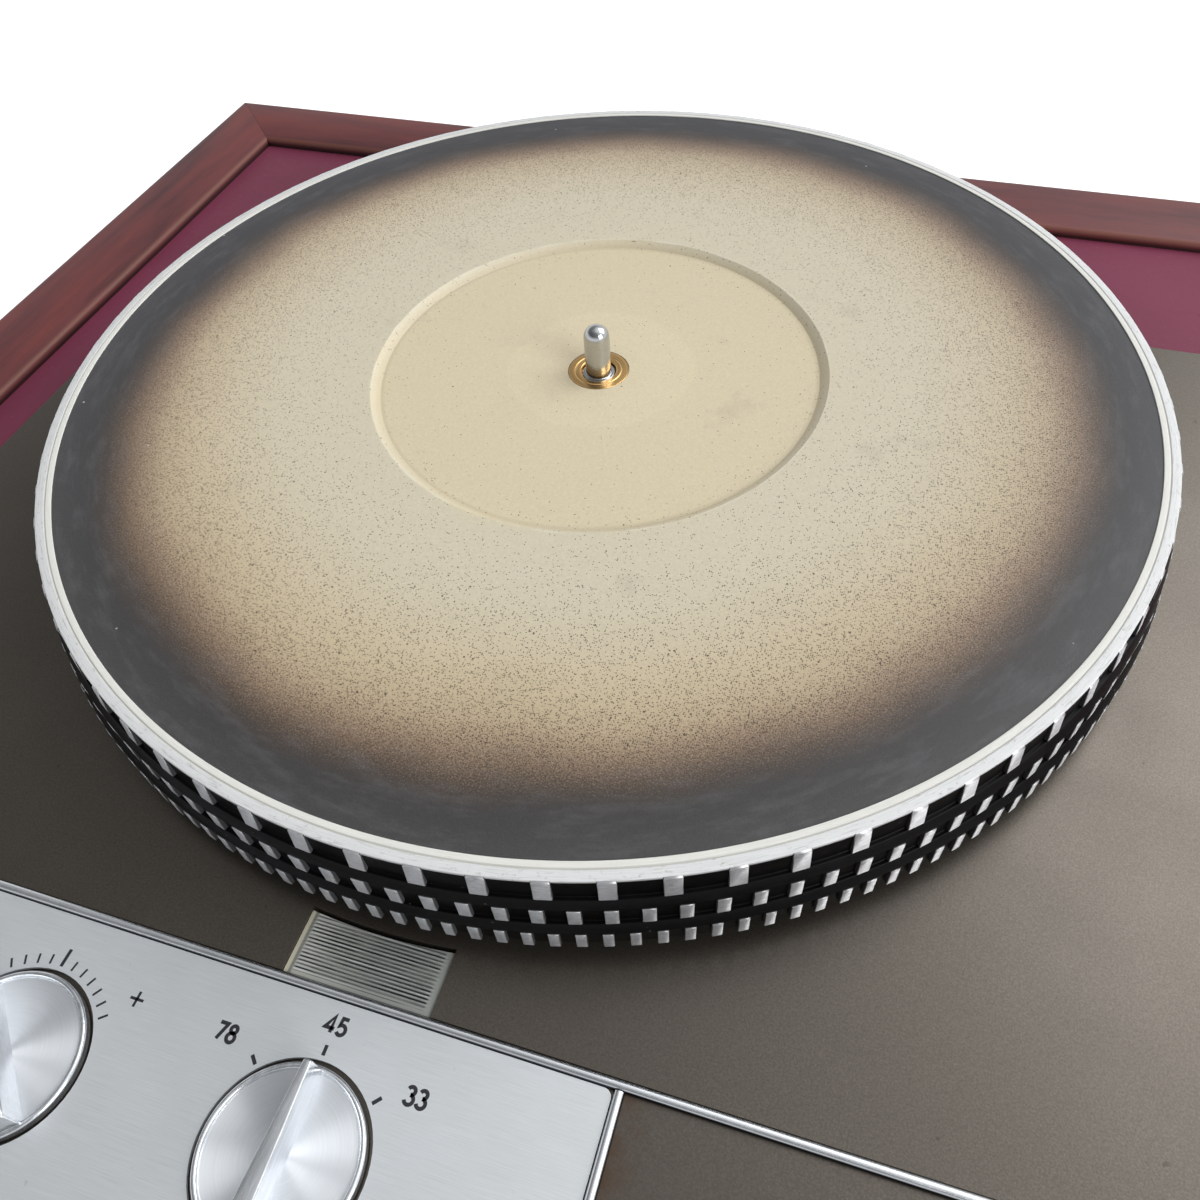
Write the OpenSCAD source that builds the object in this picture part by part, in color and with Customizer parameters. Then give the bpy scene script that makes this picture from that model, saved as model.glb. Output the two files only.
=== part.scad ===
// Idler-drive turntable: a cast platter with three rows of strobe lugs on a painted
// motor unit, let into a mitred hardwood plinth.
// Millimetres, +Z up, front at -Y. The origin is on the floor under the plinth's middle.

/* [Plinth] */
// Outer width of the wooden frame
plinth_w = 532; // [500:1:600]
// Outer depth of the wooden frame
plinth_d = 456; // [440:1:520]
// Width of a frame rail seen from above
rail_w = 27; // [20:1:32]
// Height of the frame rails
rail_h = 115; // [105:1:140]
// Drop from the rails' top to the top board
lip_h = 6; // [4:0.5:9]
// Radius of the rails' inner top edge
bead_r = 4.5; // [2:0.5:6]
// Radius of the rails' outer top edge
edge_r = 2.5; // [1:0.5:5]
// Thickness of the top board
board_t = 15; // [10:1:18]
// Thickness of the base board
base_t = 6; // [4:0.5:9]
// Width of the corner blocks and of the cleats under the top board
cleat_w = 18; // [14:1:26]
// Height of a foot
foot_h = 15; // [10:1:25]
// Radius of a foot at the top
foot_r = 20; // [15:1:26]
// Distance from the plinth's sides to a foot's centre
foot_inset = 62; // [55:1:80]

/* [Motor unit] */
// Top board that shows between the left rail and the deck
left_margin = 18; // [10:0.1:40]
// Top board that shows between the front rail and the deck
front_margin = 17.6; // [10:0.1:40]
// Width of the deck
deck_w = 372; // [350:1:395]
// Deck behind the platter axis
deck_rear = 87; // [75:1:100]
// Radius of the deck's corners
deck_corner_r = 4; // [2:0.5:8]
// Thickness of the deck where it laps over the top board
flange_t = 3; // [2.5:0.1:4]
// Extra thickness of the deck inside the cut-out
deck_web_t = 3; // [2:0.5:4]
// Lap of the deck on the top board
deck_lap = 11; // [8:1:16]

/* [Platter] */
// Outer radius of the bare ring on top of the platter
platter_r = 152.6; // [146:0.1:158]
// Width of the bare ring
ring_w = 4.1; // [3:0.1:6]
// Height of the ring above the deck
platter_lift = 30; // [29.5:0.1:33]
// Drop from the ring to the painted face
face_drop = 0.35; // [0.2:0.05:0.6]
// Radius of the label recess at its upper edge
label_r = 64.4; // [58:0.1:70]
// Depth of the label recess
label_depth = 1.7; // [1:0.1:2]
// Thickness of the platter's disc
disc_t = 6; // [5:0.1:7]
// Depth of the whole rim below the ring
rim_h = 23.8; // [23:0.1:25]
// Thickness of the rim under the ring
rim_t = 13.6; // [11:0.1:16]
// Height of the lugs
lug_h = 6.2; // [5:0.1:6.6]
// Outward stand of the lugs from the painted wall
lug_stand = 1.4; // [0.8:0.1:2]
// Outward step from one row of lugs to the next
row_step = 1.4; // [0.8:0.1:1.8]
// Lugs in the upper, middle and lower row
row_counts = [77, 133, 180];
// Lug share of the pitch in each row
row_shares = [0.30, 0.39, 0.42];
// Angle of one lug in each row
row_phases = [-67.1, -66.2, -66.0];

/* [Spindle and bearing] */
// Radius of the spindle above the platter
spindle_r = 3.6; // [3.4:0.05:3.9]
// Height of the spindle above the ring
spindle_h = 12.7; // [10:0.1:18]
// Radius of the shaft in the bearing
journal_r = 8; // [6:0.5:9]
// Outer radius of the bearing housing's tube
housing_r = 14; // [13:0.5:16]
// Radius of the bearing housing's flange
housing_flange_r = 30; // [26:1:34]
// Length of the bearing housing below the deck
housing_len = 61; // [50:1:68]
// Radius of the brass bush in the platter
hub_bush_r = 8.7; // [8:0.1:10]

/* [Drive] */
// Radius of the idler's tyre
idler_r = 29; // [26:0.5:32]
// Height of the idler's tyre
idler_t = 5; // [4:0.1:5.6]
// Angle of the idler around the platter axis
idler_angle = 200; // [190:1:210]
// Angle at the idler between the platter's rim and the pulley
wedge_angle = 125; // [115:1:135]
// Radii of the pulley's three steps, from the bottom
pulley_radii = [7.53, 4.35, 3.22];
// Height of each pulley step
pulley_step_h = 6.8; // [6.4:0.1:7]
// Distance from the idler's axle to its arm's pivot
idler_arm_len = 75; // [66:1:82]
// Outer radius of the motor
motor_r = 45; // [38:1:48]
// Height of each motor cover
cover_h = 16; // [12:1:18]
// Height of the stator's stack
stator_h = 18; // [12:1:22]
// Radius of the motor's shaft
motor_shaft_r = 3; // [2.5:0.1:3.1]
// Radius of the eddy brake's disc
eddy_r = 30; // [26:1:34]
// Thickness of the eddy brake's disc
eddy_t = 1.5; // [1:0.1:2]

/* [Controls] */
// Depth of the strobe window in front of the platter
window_d = 13.2; // [10:0.1:16]
// Width of the strobe window
window_w = 33.4; // [26:0.2:40]
// Number of ribs on the window
window_ribs = 14; // [8:1:18]
// Width of the chrome trim
trim_w = 2.2; // [1.6:0.1:3]
// Depth of the front strip that holds the control plate
strip_d = 57; // [50:0.5:62]
// Depth of the recess that the plate lies in
strip_drop = 1; // [0.6:0.1:1.4]
// Border of the deck around the front strip
strip_border = 3; // [2:0.5:5]
// Length of the control plate
plate_len = 239; // [200:1:260]
// Thickness of the control plate
plate_t = 0.95; // [0.6:0.05:1.3]
// Radius of the control plate's corners
plate_corner_r = 1.8; // [0.5:0.1:3]
// Distance between two knobs
knob_pitch = 62.6; // [50:0.1:70]
// Radius of a knob
knob_r = 16.2; // [13:0.1:18]
// Height of a knob's rim above the plate
knob_rise = 1.3; // [0.8:0.1:2]
// Width of a knob's rim
knob_rim_w = 1.5; // [1:0.1:2.5]
// Height of a knob's blade above the plate
blade_h = 8; // [6:0.1:11]
// Width of a blade at its pointer
blade_tip_w = 2; // [1.4:0.1:3]
// Width of a blade at its tail
blade_tail_w = 4.6; // [3.4:0.1:6]
// Turn of the pitch knob from its middle mark
pitch_angle = 44; // [0:1:50]
// Radius of a knob's shaft
knob_shaft_r = 3; // [2.5:0.1:4]

/* [Hidden] */
$fn = 96;

// Clearances: a running shaft, a loose fit, and faces that pass each other
run_gap = 0.04;
fit_gap = 0.1;
pass_gap = 0.3;
// How far a cut runs past the face that it goes through
over = 1;

// Heights from the floor up
rail_top = foot_h + rail_h;
base_top = foot_h + base_t;
board_top = rail_top - lip_h;
board_under = board_top - board_t;
deck_z = board_top + flange_t;
deck_under = board_top - deck_web_t;
ring_z = deck_z + platter_lift;
face_z = ring_z - face_drop;
label_z = face_z - label_depth;
disc_under = face_z - disc_t;
strip_z = deck_z - strip_drop;
plate_z = strip_z + plate_t;

// Rim of the platter: each row is a band of lugs with a sloping ledge above it
ring_in_r = platter_r - ring_w;
rim_in_r = platter_r - rim_t;
lug_lead = 1.2;
lug_face_r = [for (k = [0 : 2]) platter_r + lug_lead + k * row_step];
lug_wall_r = [for (r = lug_face_r) r - lug_stand];
ring_lip = 0.8;
ledge_h = (rim_h - ring_lip - 3 * lug_h) / 2;
lug_top = [for (k = [0 : 2]) ring_lip + k * (lug_h + ledge_h)];
platter_max_r = lug_face_r[2];
ring_groove_r = ring_in_r + ring_w / 2;
ring_groove_w = 0.4;
label_slope_w = 2.5;
rim_fillet = 3;
hub_r = 18;
hub_h = 6.5;
hub_under = disc_under - hub_h;

// Deck outline in the platter's own frame, where the platter axis is x = y = 0
window_gap = 0.4;
window_rear_r = platter_max_r + window_gap;
strip_rear = -(window_rear_r + window_d);
strip_front = strip_rear - trim_w - strip_d;
deck_front = strip_front - strip_border;
deck_x0 = -deck_w / 2;
deck_x1 = deck_w / 2;
strip_x0 = deck_x0 + strip_border;
strip_x1 = deck_x1 - strip_border;
plate_x0 = strip_x0 + fit_gap;
plate_x1 = plate_x0 + plate_len;
plate_y0 = strip_front + fit_gap;
plate_y1 = strip_rear - trim_w - fit_gap;
cutout_gap = 2;
inner_x = plinth_w / 2 - rail_w;
inner_y = plinth_d / 2 - rail_w;

// The platter axis in the plinth's frame: the deck keeps its margins to the left and front rails
axis_x = left_margin + deck_w / 2 - inner_x;
axis_y = front_margin - deck_front - inner_y;

// Knobs stand in a row along the middle of the plate, the speed knob before the spindle
knob_y = (plate_y0 + plate_y1) / 2;
speed_x = 0;
pitch_x = speed_x - knob_pitch;
power_x = pitch_x - knob_pitch;
knob_xs = [speed_x, pitch_x, power_x];
well_clear = 1;
well_r = knob_r + well_clear;
knob_sunk = 1.1;
well_gap = 0.5;
well_z = strip_z - knob_sunk + plate_t - well_gap;
knob_under = plate_z - knob_sunk;
knob_dish = 0.7;
knob_face_z = plate_z + knob_rise - knob_dish;
knob_skin = 0.6;
shaft_top = knob_face_z - knob_skin;
knob_bush_r = 5;
knob_bush_len = 9;
bush_flange_t = 3;
bush_flange_w = 3;
knob_shaft_len = 22;
cam_h = 7;
cam_r = 12;
speed_flat = 3;
pitch_flat = 5;
power_flat = 4;

// Idler and pulley: the idler lies between the rim and the pulley, clear of both by pass_gap
function polar(r, a) = [r * cos(a), r * sin(a)];
idler_c = polar(rim_in_r - idler_r - pass_gap, idler_angle);
pulley_dir = idler_angle - wedge_angle;
pulley_c = idler_c + polar(idler_r + pulley_radii[1] + pass_gap, pulley_dir);
retract_dir = idler_angle - wedge_angle / 2 + 180;
idler_pivot_c = idler_c + polar(idler_arm_len, retract_dir + 90);
pulley_clear = 1;
pulley_z = deck_z + pulley_clear;
idler_z = pulley_z + 1.5 * pulley_step_h - idler_t / 2;
arm_lift = 2.5;
arm_z = deck_z + arm_lift;
arm_t = 2.5;
arm_half_w = 5;
pivot_r = 3;
pivot_collar_w = 3;
arm_boss_w = 4;
arm_boss_h = 2;
pivot_head_h = 1;
pivot_collar_h = arm_z - pass_gap - deck_z;
idler_axle_r = 2.5;
idler_boss_r = 6;
idler_boss_rise = 2;
idler_boss_top = idler_z + idler_t + idler_boss_rise;
clip_z = idler_boss_top + pass_gap;
clip_w = 2;
clip_t = 1;
axle_tail = 0.7;
hub_inset = 0.5;
tyre_w = 5;

// Brake: a pad that swings out against the inside of the rim
brake_angle = 240;
brake_gap = 2;
pad_t = 5;
pad_w = 16;
pad_h = 10;
pad_r = rim_in_r - brake_gap;
brake_pivot_inset = 21;
brake_lead = 18;
brake_pivot_c = polar(rim_in_r - brake_pivot_inset, brake_angle + brake_lead);
pad_lift = 3;
pad_z = ring_z - rim_h + pad_lift;

// Motor stack, hung below the deck
motor_drop = 13;
motor_top = deck_under - motor_drop;
stator_z = motor_top - cover_h - stator_h;
lower_z = stator_z - cover_h;
boss_r = 9;
boss_h = 4;
shaft_hole_r = 12;
eddy_drop = 10.5;
eddy_z = lower_z - eddy_drop;
eddy_hub_r = 6;
eddy_hub_h = 3;
shaft_tail = 5;
shaft_bottom = eddy_z - shaft_tail;
rotor_r = 20;
rotor_gap = 0.5;
ear_reach = 11;
ear_r = motor_r + ear_reach;
ear_t = 4;
ear_rise = 6;
ear_z = motor_top - cover_h + ear_rise;
ear_angles = [60, 150, 280];
grommet_r = 7;
ear_rim_w = 4;
pillar_r = 4;
pillar_tail = 8;
pillar_end = ear_z - pillar_tail;
nut_h = 5;
nut_lift = 1;

// Eddy brake: a slotted magnet on an arm, moved by the pitch knob
magnet_dir = -80;
magnet_post_dir = -120;
magnet_post_gap = 12;
magnet_w = 16;
magnet_slot = 4.5;
magnet_pole = 3.2;
magnet_reach = 13;
magnet_yoke = 4;
magnet_clear = 3;
magnet_boss_r = pillar_r + arm_boss_w;
magnet_c = pulley_c + polar(eddy_r + magnet_clear, magnet_dir);
magnet_post_c = pulley_c + polar(motor_r + magnet_boss_r + magnet_post_gap, magnet_post_dir);
magnet_z0 = eddy_z + eddy_t / 2 - magnet_slot / 2 - magnet_pole;
magnet_z1 = magnet_z0 + magnet_slot + 2 * magnet_pole;
magnet_arm_t = 2.5;
magnet_boss_low = 2;
magnet_boss_high = 4;
post_collar_t = 3;
post_collar_w = 3;

// Bearing stack
bush_wall = 2.5;
bore_r = journal_r + bush_wall;
housing_bottom = deck_under - housing_len;
housing_flange_t = 6;
bush_proud = 0.5;
hub_seat = hub_under - bush_proud;
hub_clear = 2.5;
housing_top = hub_seat - hub_clear;
bush_len = 16;
cap_t = 6;
cap_spigot_h = 3;
ball_r = 4;
shaft_low = housing_bottom + cap_spigot_h + 2 * ball_r + run_gap;
hub_pin_r = 5;
pin_drop = 1.8;
neck_drop = 0.6;
neck_in = 0.4;

// Fasteners
screw_r = 2.5;
screw_head_r = 4.5;
screw_head_h = 3;
screw_grip = 20;
bolt_r = 3;
bolt_head_r = 4.8;
bolt_head_h = 4;
bolt_inset = 5.5;
bolt_setback = 40;
bolt_cover = 1;
washer_r = 5;
washer_t = 1.6;

// Colours as the photograph shows them
wood_colour = [0.37, 0.20, 0.18];
board_colour = [0.47, 0.24, 0.31];
deck_colour = [0.35, 0.32, 0.30];
steel_colour = [0.72, 0.71, 0.68];
chrome_colour = [0.85, 0.87, 0.89];
alu_colour = [0.79, 0.80, 0.80];
cast_colour = [0.78, 0.74, 0.64];
brass_colour = [0.78, 0.60, 0.35];
rubber_colour = [0.12, 0.12, 0.13];
black_colour = [0.16, 0.16, 0.17];
plain_colour = [0.55, 0.50, 0.42];

function arc(c, r, a0, a1, n = 8) = [for (i = [0 : n]) c + polar(r, a0 + (a1 - a0) * i / n)];

function rounded(x0, y0, x1, y1, r) = concat(
    arc([x1 - r, y1 - r], r, 0, 90),
    arc([x0 + r, y1 - r], r, 90, 180),
    arc([x0 + r, y0 + r], r, 180, 270),
    arc([x1 - r, y0 + r], r, 270, 360)
);

// A flat slab with round corners between two corners and two heights
module slab(low, high, r, z0, z1) {
    translate([0, 0, z0])
        linear_extrude(z1 - z0)
            polygon(rounded(low[0], low[1], high[0], high[1], r));
}

// A box between two corners and two heights
module block(low, high, z0, z1) {
    translate([low[0], low[1], z0])
        cube([high[0] - low[0], high[1] - low[1], z1 - z0]);
}

// A round post between two heights
module post(c, r, z0, z1) {
    translate([c[0], c[1], z0])
        cylinder(r = r, h = z1 - z0);
}

// A flat link with round ends between two points
module link(a, b, half_w, z0, z1) {
    d = b - a;
    translate([a[0], a[1], z0])
        rotate(atan2(d[1], d[0]))
            union() {
                translate([0, -half_w, 0])
                    cube([norm(d), 2 * half_w, z1 - z0]);
                cylinder(r = half_w, h = z1 - z0);
                translate([norm(d), 0, 0])
                    cylinder(r = half_w, h = z1 - z0);
            }
}

// Moves a piece of the motor unit from the platter's frame to the plinth's
module on_axis() {
    translate([axis_x, axis_y, 0])
        children();
}

// A domed rail of the frame along X, mitred at both ends, with its outer face on y = 0
module mitred_rail(length) {
    section = concat(
        [[0, 0], [rail_w, 0]],
        arc([rail_w - bead_r, rail_h - bead_r], bead_r, 0, 90),
        arc([edge_r, rail_h - edge_r], edge_r, 90, 180)
    );
    half = length / 2;
    intersection() {
        rotate([90, 0, 90])
            translate([0, 0, -half])
                linear_extrude(length)
                    polygon(section);
        linear_extrude(rail_h)
            polygon([[-half, 0], [half, 0], [half - rail_w, rail_w], [rail_w - half, rail_w]]);
    }
}

module front_rail() {
    color(wood_colour)
        translate([0, -plinth_d / 2, foot_h])
            mitred_rail(plinth_w);
}

grommet_inset = 86;
grommet_x = grommet_inset - plinth_w / 2;
grommet_rise = 24;
grommet_z = base_top + grommet_rise;
grommet_hole_r = 7;
grommet_bore_r = 4;
grommet_flange_r = 11;
grommet_flange_t = 2.5;

module rear_rail() {
    color(wood_colour)
        difference() {
            translate([0, plinth_d / 2, foot_h])
                rotate(180)
                    mitred_rail(plinth_w);
            translate([grommet_x, plinth_d / 2, grommet_z])
                rotate([90, 0, 0]) {
                    translate([0, 0, -over])
                        cylinder(r = grommet_hole_r, h = rail_w + 2 * over);
                    translate([0, 0, -over])
                        cylinder(r = grommet_flange_r, h = grommet_flange_t + over);
                }
        }
}

module left_rail() {
    color(wood_colour)
        translate([-plinth_w / 2, 0, foot_h])
            rotate(-90)
                mitred_rail(plinth_d);
}

module right_rail() {
    color(wood_colour)
        translate([plinth_w / 2, 0, foot_h])
            rotate(90)
                mitred_rail(plinth_d);
}

cut_low = [deck_x0 + deck_lap, deck_front + deck_lap];
cut_high = [deck_x1 - deck_lap, deck_rear - deck_lap];
bolt_spots = [
    for (x = [deck_x0 + bolt_inset, deck_x1 - bolt_inset])
        for (y = [deck_front + bolt_setback, deck_rear - bolt_setback]) [x, y]
];

module top_board() {
    color(board_colour)
        difference() {
            block([-inner_x, -inner_y], [inner_x, inner_y], board_under, board_top);
            on_axis() {
                slab(cut_low, cut_high, deck_corner_r, board_under - over, board_top + over);
                for (c = bolt_spots)
                    post(c, bolt_r + fit_gap, board_under - over, board_top + over);
            }
        }
}

foot_x = plinth_w / 2 - foot_inset;
foot_y = plinth_d / 2 - foot_inset;
foot_spots = [for (sx = [-1, 1]) for (sy = [-1, 1]) [sx * foot_x, sy * foot_y]];
block_spots = [
    for (sx = [-1, 1])
        for (sy = [-1, 1]) [sx * (inner_x - cleat_w / 2), sy * (inner_y - cleat_w / 2)]
];
vent_w = 5;
vent_corner_r = 2;
vent_len = 60;
vent_pitch = 14;
vent_count = 9;

module base_board() {
    color(plain_colour)
        difference() {
            block([-inner_x, -inner_y], [inner_x, inner_y], foot_h, base_top);
            for (i = [0 : vent_count - 1])
                translate([axis_x + pulley_c[0] + (i - (vent_count - 1) / 2) * vent_pitch,
                        axis_y + pulley_c[1], 0])
                    slab([-vent_w / 2, -vent_len / 2], [vent_w / 2, vent_len / 2], vent_corner_r,
                        foot_h - over, base_top + over);
            for (c = foot_spots)
                post(c, screw_r, foot_h - over, base_top + over);
            for (c = block_spots) {
                post(c, screw_r, foot_h - over, base_top + over);
                post(c, screw_head_r + fit_gap, foot_h - over, foot_h + screw_head_h);
            }
        }
}

module corner_blocks() {
    color(plain_colour)
        for (c = block_spots)
            difference() {
                block(c - [cleat_w / 2, cleat_w / 2], c + [cleat_w / 2, cleat_w / 2], base_top, board_under);
                post(c, screw_r, base_top - over, base_top + screw_grip);
            }
}

// Cleats under the top board's edges, notched where a deck bolt comes down beside them
module board_cleats() {
    low = board_under - cleat_w;
    half = cleat_w / 2;
    run_x = inner_x - cleat_w;
    run_y = inner_y - cleat_w;
    color(plain_colour)
        difference() {
            union()
                for (s = [-1, 1]) {
                    translate([0, s * (inner_y - half), 0])
                        block([-run_x, -half], [run_x, half], low, board_under);
                    translate([s * (inner_x - half), 0, 0])
                        block([-half, -run_y], [half, run_y], low, board_under);
                }
            on_axis()
                for (c = bolt_spots)
                    post(c, washer_r + pass_gap, low - over, board_under + over);
        }
}

foot_taper = 4;
foot_sink = 6;
foot_sink_r = 7;

module feet() {
    color(rubber_colour)
        for (c = foot_spots)
            translate([c[0], c[1], 0])
                rotate_extrude()
                    polygon([
                        [foot_sink_r, 0], [foot_r - foot_taper, 0], [foot_r, foot_h], [screw_r, foot_h],
                        [screw_r, foot_sink], [foot_sink_r, foot_sink]
                    ]);
}

module foot_screws() {
    color(steel_colour)
        for (c = foot_spots) {
            post(c, screw_r, foot_sink, base_top);
            post(c, screw_head_r, foot_sink - screw_head_h, foot_sink);
        }
}

module base_screws() {
    color(steel_colour)
        for (c = block_spots) {
            post(c, screw_r, foot_h + screw_head_h, base_top + screw_grip);
            post(c, screw_head_r, foot_h, foot_h + screw_head_h);
        }
}

module cable_grommet() {
    color(rubber_colour)
        translate([grommet_x, plinth_d / 2, grommet_z])
            rotate([90, 0, 0])
                difference() {
                    union() {
                        cylinder(r = grommet_flange_r, h = grommet_flange_t);
                        cylinder(r = grommet_hole_r, h = rail_w);
                    }
                    translate([0, 0, -over])
                        cylinder(r = grommet_bore_r, h = rail_w + 2 * over);
                }
}

window_x = window_w / 2;

// Outline of the window's block: straight in front, concentric with the platter behind
module window_block(grow, z0, z1) {
    difference() {
        block([-window_x - grow, strip_rear - grow],
            [window_x + grow, -window_rear_r + window_d / 2], z0, z1);
        post([0, 0], window_rear_r - grow, z0 - over, z1 + over, $fn = 480);
    }
}

bearing_screw_out = 1;
bearing_screw_r = (housing_r + housing_flange_r) / 2 + bearing_screw_out;
bearing_screw_spots = [for (a = [30, 150, 270]) polar(bearing_screw_r, a)];
screw_bite = 3;

module chassis() {
    web_low = cut_low + [cutout_gap, cutout_gap];
    web_high = cut_high - [cutout_gap, cutout_gap];
    color(deck_colour)
        on_axis()
            difference() {
                union() {
                    slab([deck_x0, deck_front], [deck_x1, deck_rear], deck_corner_r, board_top, deck_z);
                    slab(web_low, web_high, deck_corner_r, deck_under, board_top);
                }
                block([strip_x0, strip_front], [strip_x1, strip_rear], strip_z, deck_z + over);
                for (x = knob_xs) {
                    post([x, knob_y], well_r, well_z, deck_z);
                    post([x, knob_y], knob_bush_r, deck_under - over, deck_z);
                }
                window_block(fit_gap, deck_under - over, deck_z + over);
                post([0, 0], housing_r + pass_gap, deck_under - over, deck_z + over);
                post(pulley_c, shaft_hole_r, deck_under - over, deck_z + over);
                post(idler_pivot_c, pivot_r, deck_under - over, deck_z + over);
                post(brake_pivot_c, pivot_r, deck_under - over, deck_z + over);
                for (c = bearing_screw_spots)
                    post(c, screw_r, deck_under - over, deck_under + screw_bite);
                for (c = bolt_spots)
                    post(c, bolt_r, board_top - over, deck_z - bolt_cover);
            }
}

module chassis_bolts() {
    color(steel_colour)
        on_axis()
            for (c = bolt_spots) {
                post(c, bolt_r, board_under - washer_t, deck_z - bolt_cover);
                post(c, washer_r, board_under - washer_t, board_under);
                translate([c[0], c[1], board_under - washer_t - bolt_head_h])
                    cylinder(r = bolt_head_r, h = bolt_head_h, $fn = 6);
            }
}

module control_plate() {
    color(alu_colour)
        on_axis()
            difference() {
                slab([plate_x0, plate_y0], [plate_x1, plate_y1], plate_corner_r, strip_z, plate_z);
                for (x = knob_xs)
                    post([x, knob_y], well_r, strip_z - over, plate_z + over);
            }
}

trim_rise = 0.8;

// A half-round trim strip along X with its back edge on y = 0
module trim_strip(length) {
    wall_h = deck_z + trim_rise - strip_z - trim_w / 2;
    section = concat([[-trim_w, 0], [0, 0]], arc([-trim_w / 2, wall_h], trim_w / 2, 0, 180, 12));
    rotate([90, 0, 90])
        linear_extrude(length)
            polygon(section);
}

module rear_trim() {
    color(chrome_colour)
        on_axis()
            translate([strip_x0, strip_rear, strip_z])
                trim_strip(strip_x1 - strip_x0);
}

module end_trim() {
    color(chrome_colour)
        on_axis()
            translate([plate_x1 + fit_gap, strip_front, strip_z])
                rotate(90)
                    trim_strip(strip_d);
}

window_top = deck_z - pass_gap;
window_flange = 3;
window_flange_t = 2.5;

rib_h = 0.45;
rib_spare = 2;
rib_root = 4;
window_body_drop = 2;

// Ribs run along X: a row of ridges across the window, cut to the window's outline
module strobe_window() {
    rib_pitch = (window_d + rib_spare) / window_ribs;
    ridges = [
        for (i = [0 : window_ribs - 1])
            each [[i * rib_pitch, -rib_h], [(i + 0.5) * rib_pitch, 0]]
    ];
    back = window_ribs * rib_pitch;
    section = concat([[0, -rib_root]], ridges, [[back, -rib_h], [back, -rib_root]]);
    color([0.80, 0.80, 0.75, 0.6])
        on_axis()
            union() {
                intersection() {
                    window_block(0, deck_under, deck_z);
                    translate([-window_x - over, strip_rear, window_top])
                        rotate([90, 0, 90])
                            linear_extrude(window_w + 2 * over)
                                polygon(section);
                }
                window_block(0, deck_under, window_top - window_body_drop);
                block([-window_x - window_flange, strip_rear - window_flange],
                    [window_x + window_flange, -window_rear_r + window_flange],
                    deck_under - window_flange_t, deck_under);
            }
}

lamp_r = 5;
lamp_len = 24;
lamp_y = strip_rear + window_d / 2;
lamp_drop = 11;
lamp_z = deck_under - lamp_drop;
lamp_cap_out = 2;
holder_below = 2;
holder_foot = 9;
holder_t = 2;
holder_half_y = window_d / 2 + window_flange;
holder_x = window_x + window_flange + holder_t;

// A folded bracket below the window: two cheeks hold the lamp's ends and screw to the deck
module lamp_holder() {
    color(plain_colour)
        on_axis()
            for (s = [-1, 1])
                difference() {
                    union() {
                        translate([s * (holder_x - holder_t / 2), lamp_y, 0])
                            block([-holder_t / 2, -holder_half_y], [holder_t / 2, holder_half_y],
                                lamp_z - lamp_r - holder_below, deck_under);
                        translate([s * (holder_x + holder_foot / 2), lamp_y, 0])
                            block([-holder_foot / 2, -holder_half_y], [holder_foot / 2, holder_half_y],
                                deck_under - holder_t, deck_under);
                    }
                    translate([0, lamp_y, lamp_z])
                        rotate([0, 90, 0])
                            cylinder(r = lamp_r / 2, h = 4 * holder_x, center = true);
                }
}

module strobe_lamp() {
    cap_len = 2 * (holder_x + lamp_cap_out);
    color([0.95, 0.72, 0.45])
        on_axis()
            translate([0, lamp_y, lamp_z])
                rotate([0, 90, 0])
                    union() {
                        cylinder(r = lamp_r, h = lamp_len, center = true);
                        cylinder(r = lamp_r / 2 - run_gap, h = cap_len, center = true);
                    }
}

module knob_bushes() {
    color(brass_colour)
        on_axis()
            for (x = knob_xs)
                difference() {
                    union() {
                        post([x, knob_y], knob_bush_r, deck_under - knob_bush_len, well_z);
                        post([x, knob_y], knob_bush_r + bush_flange_w,
                            deck_under - bush_flange_t, deck_under);
                    }
                    post([x, knob_y], knob_shaft_r + run_gap,
                        deck_under - knob_bush_len - over, well_z + over);
                }
}

module bearing_housing() {
    color(cast_colour)
        on_axis()
            difference() {
                union() {
                    post([0, 0], housing_r, housing_bottom, housing_top);
                    post([0, 0], housing_flange_r, deck_under - housing_flange_t, deck_under);
                }
                post([0, 0], bore_r, housing_bottom - over, housing_top + over);
                for (c = bearing_screw_spots)
                    post(c, screw_r + fit_gap, deck_under - housing_flange_t - over, deck_under + over);
            }
}

module bearing_bushes() {
    low = housing_bottom + cap_spigot_h + ball_r;
    color(brass_colour)
        on_axis()
            for (z = [low, housing_top - bush_len])
                difference() {
                    post([0, 0], bore_r, z, z + bush_len);
                    post([0, 0], journal_r + run_gap, z - over, z + bush_len + over);
                }
}

module bearing_cap() {
    color(steel_colour)
        on_axis() {
            post([0, 0], housing_r, housing_bottom - cap_t, housing_bottom);
            post([0, 0], bore_r, housing_bottom, housing_bottom + cap_spigot_h);
        }
}

module thrust_ball() {
    color(steel_colour)
        on_axis()
            translate([0, 0, housing_bottom + cap_spigot_h + ball_r])
                sphere(r = ball_r);
}

module bearing_screws() {
    head_z = deck_under - housing_flange_t;
    color(steel_colour)
        on_axis()
            for (c = bearing_screw_spots) {
                post(c, screw_r, head_z, deck_under + screw_bite);
                post(c, screw_head_r, head_z - screw_head_h, head_z);
            }
}

// Outline of one row of lugs seen from above: four points a lug, on the wall and on the face
function lug_row(k) = let (pitch = 360 / row_counts[k], half = pitch * row_shares[k] / 2) [
    for (i = [0 : row_counts[k] - 1])
        let (a = row_phases[k] + i * pitch)
            each [
                polar(lug_wall_r[k], a - half), polar(lug_face_r[k], a - half),
                polar(lug_face_r[k], a + half), polar(lug_wall_r[k], a + half)
            ]
];

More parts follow.
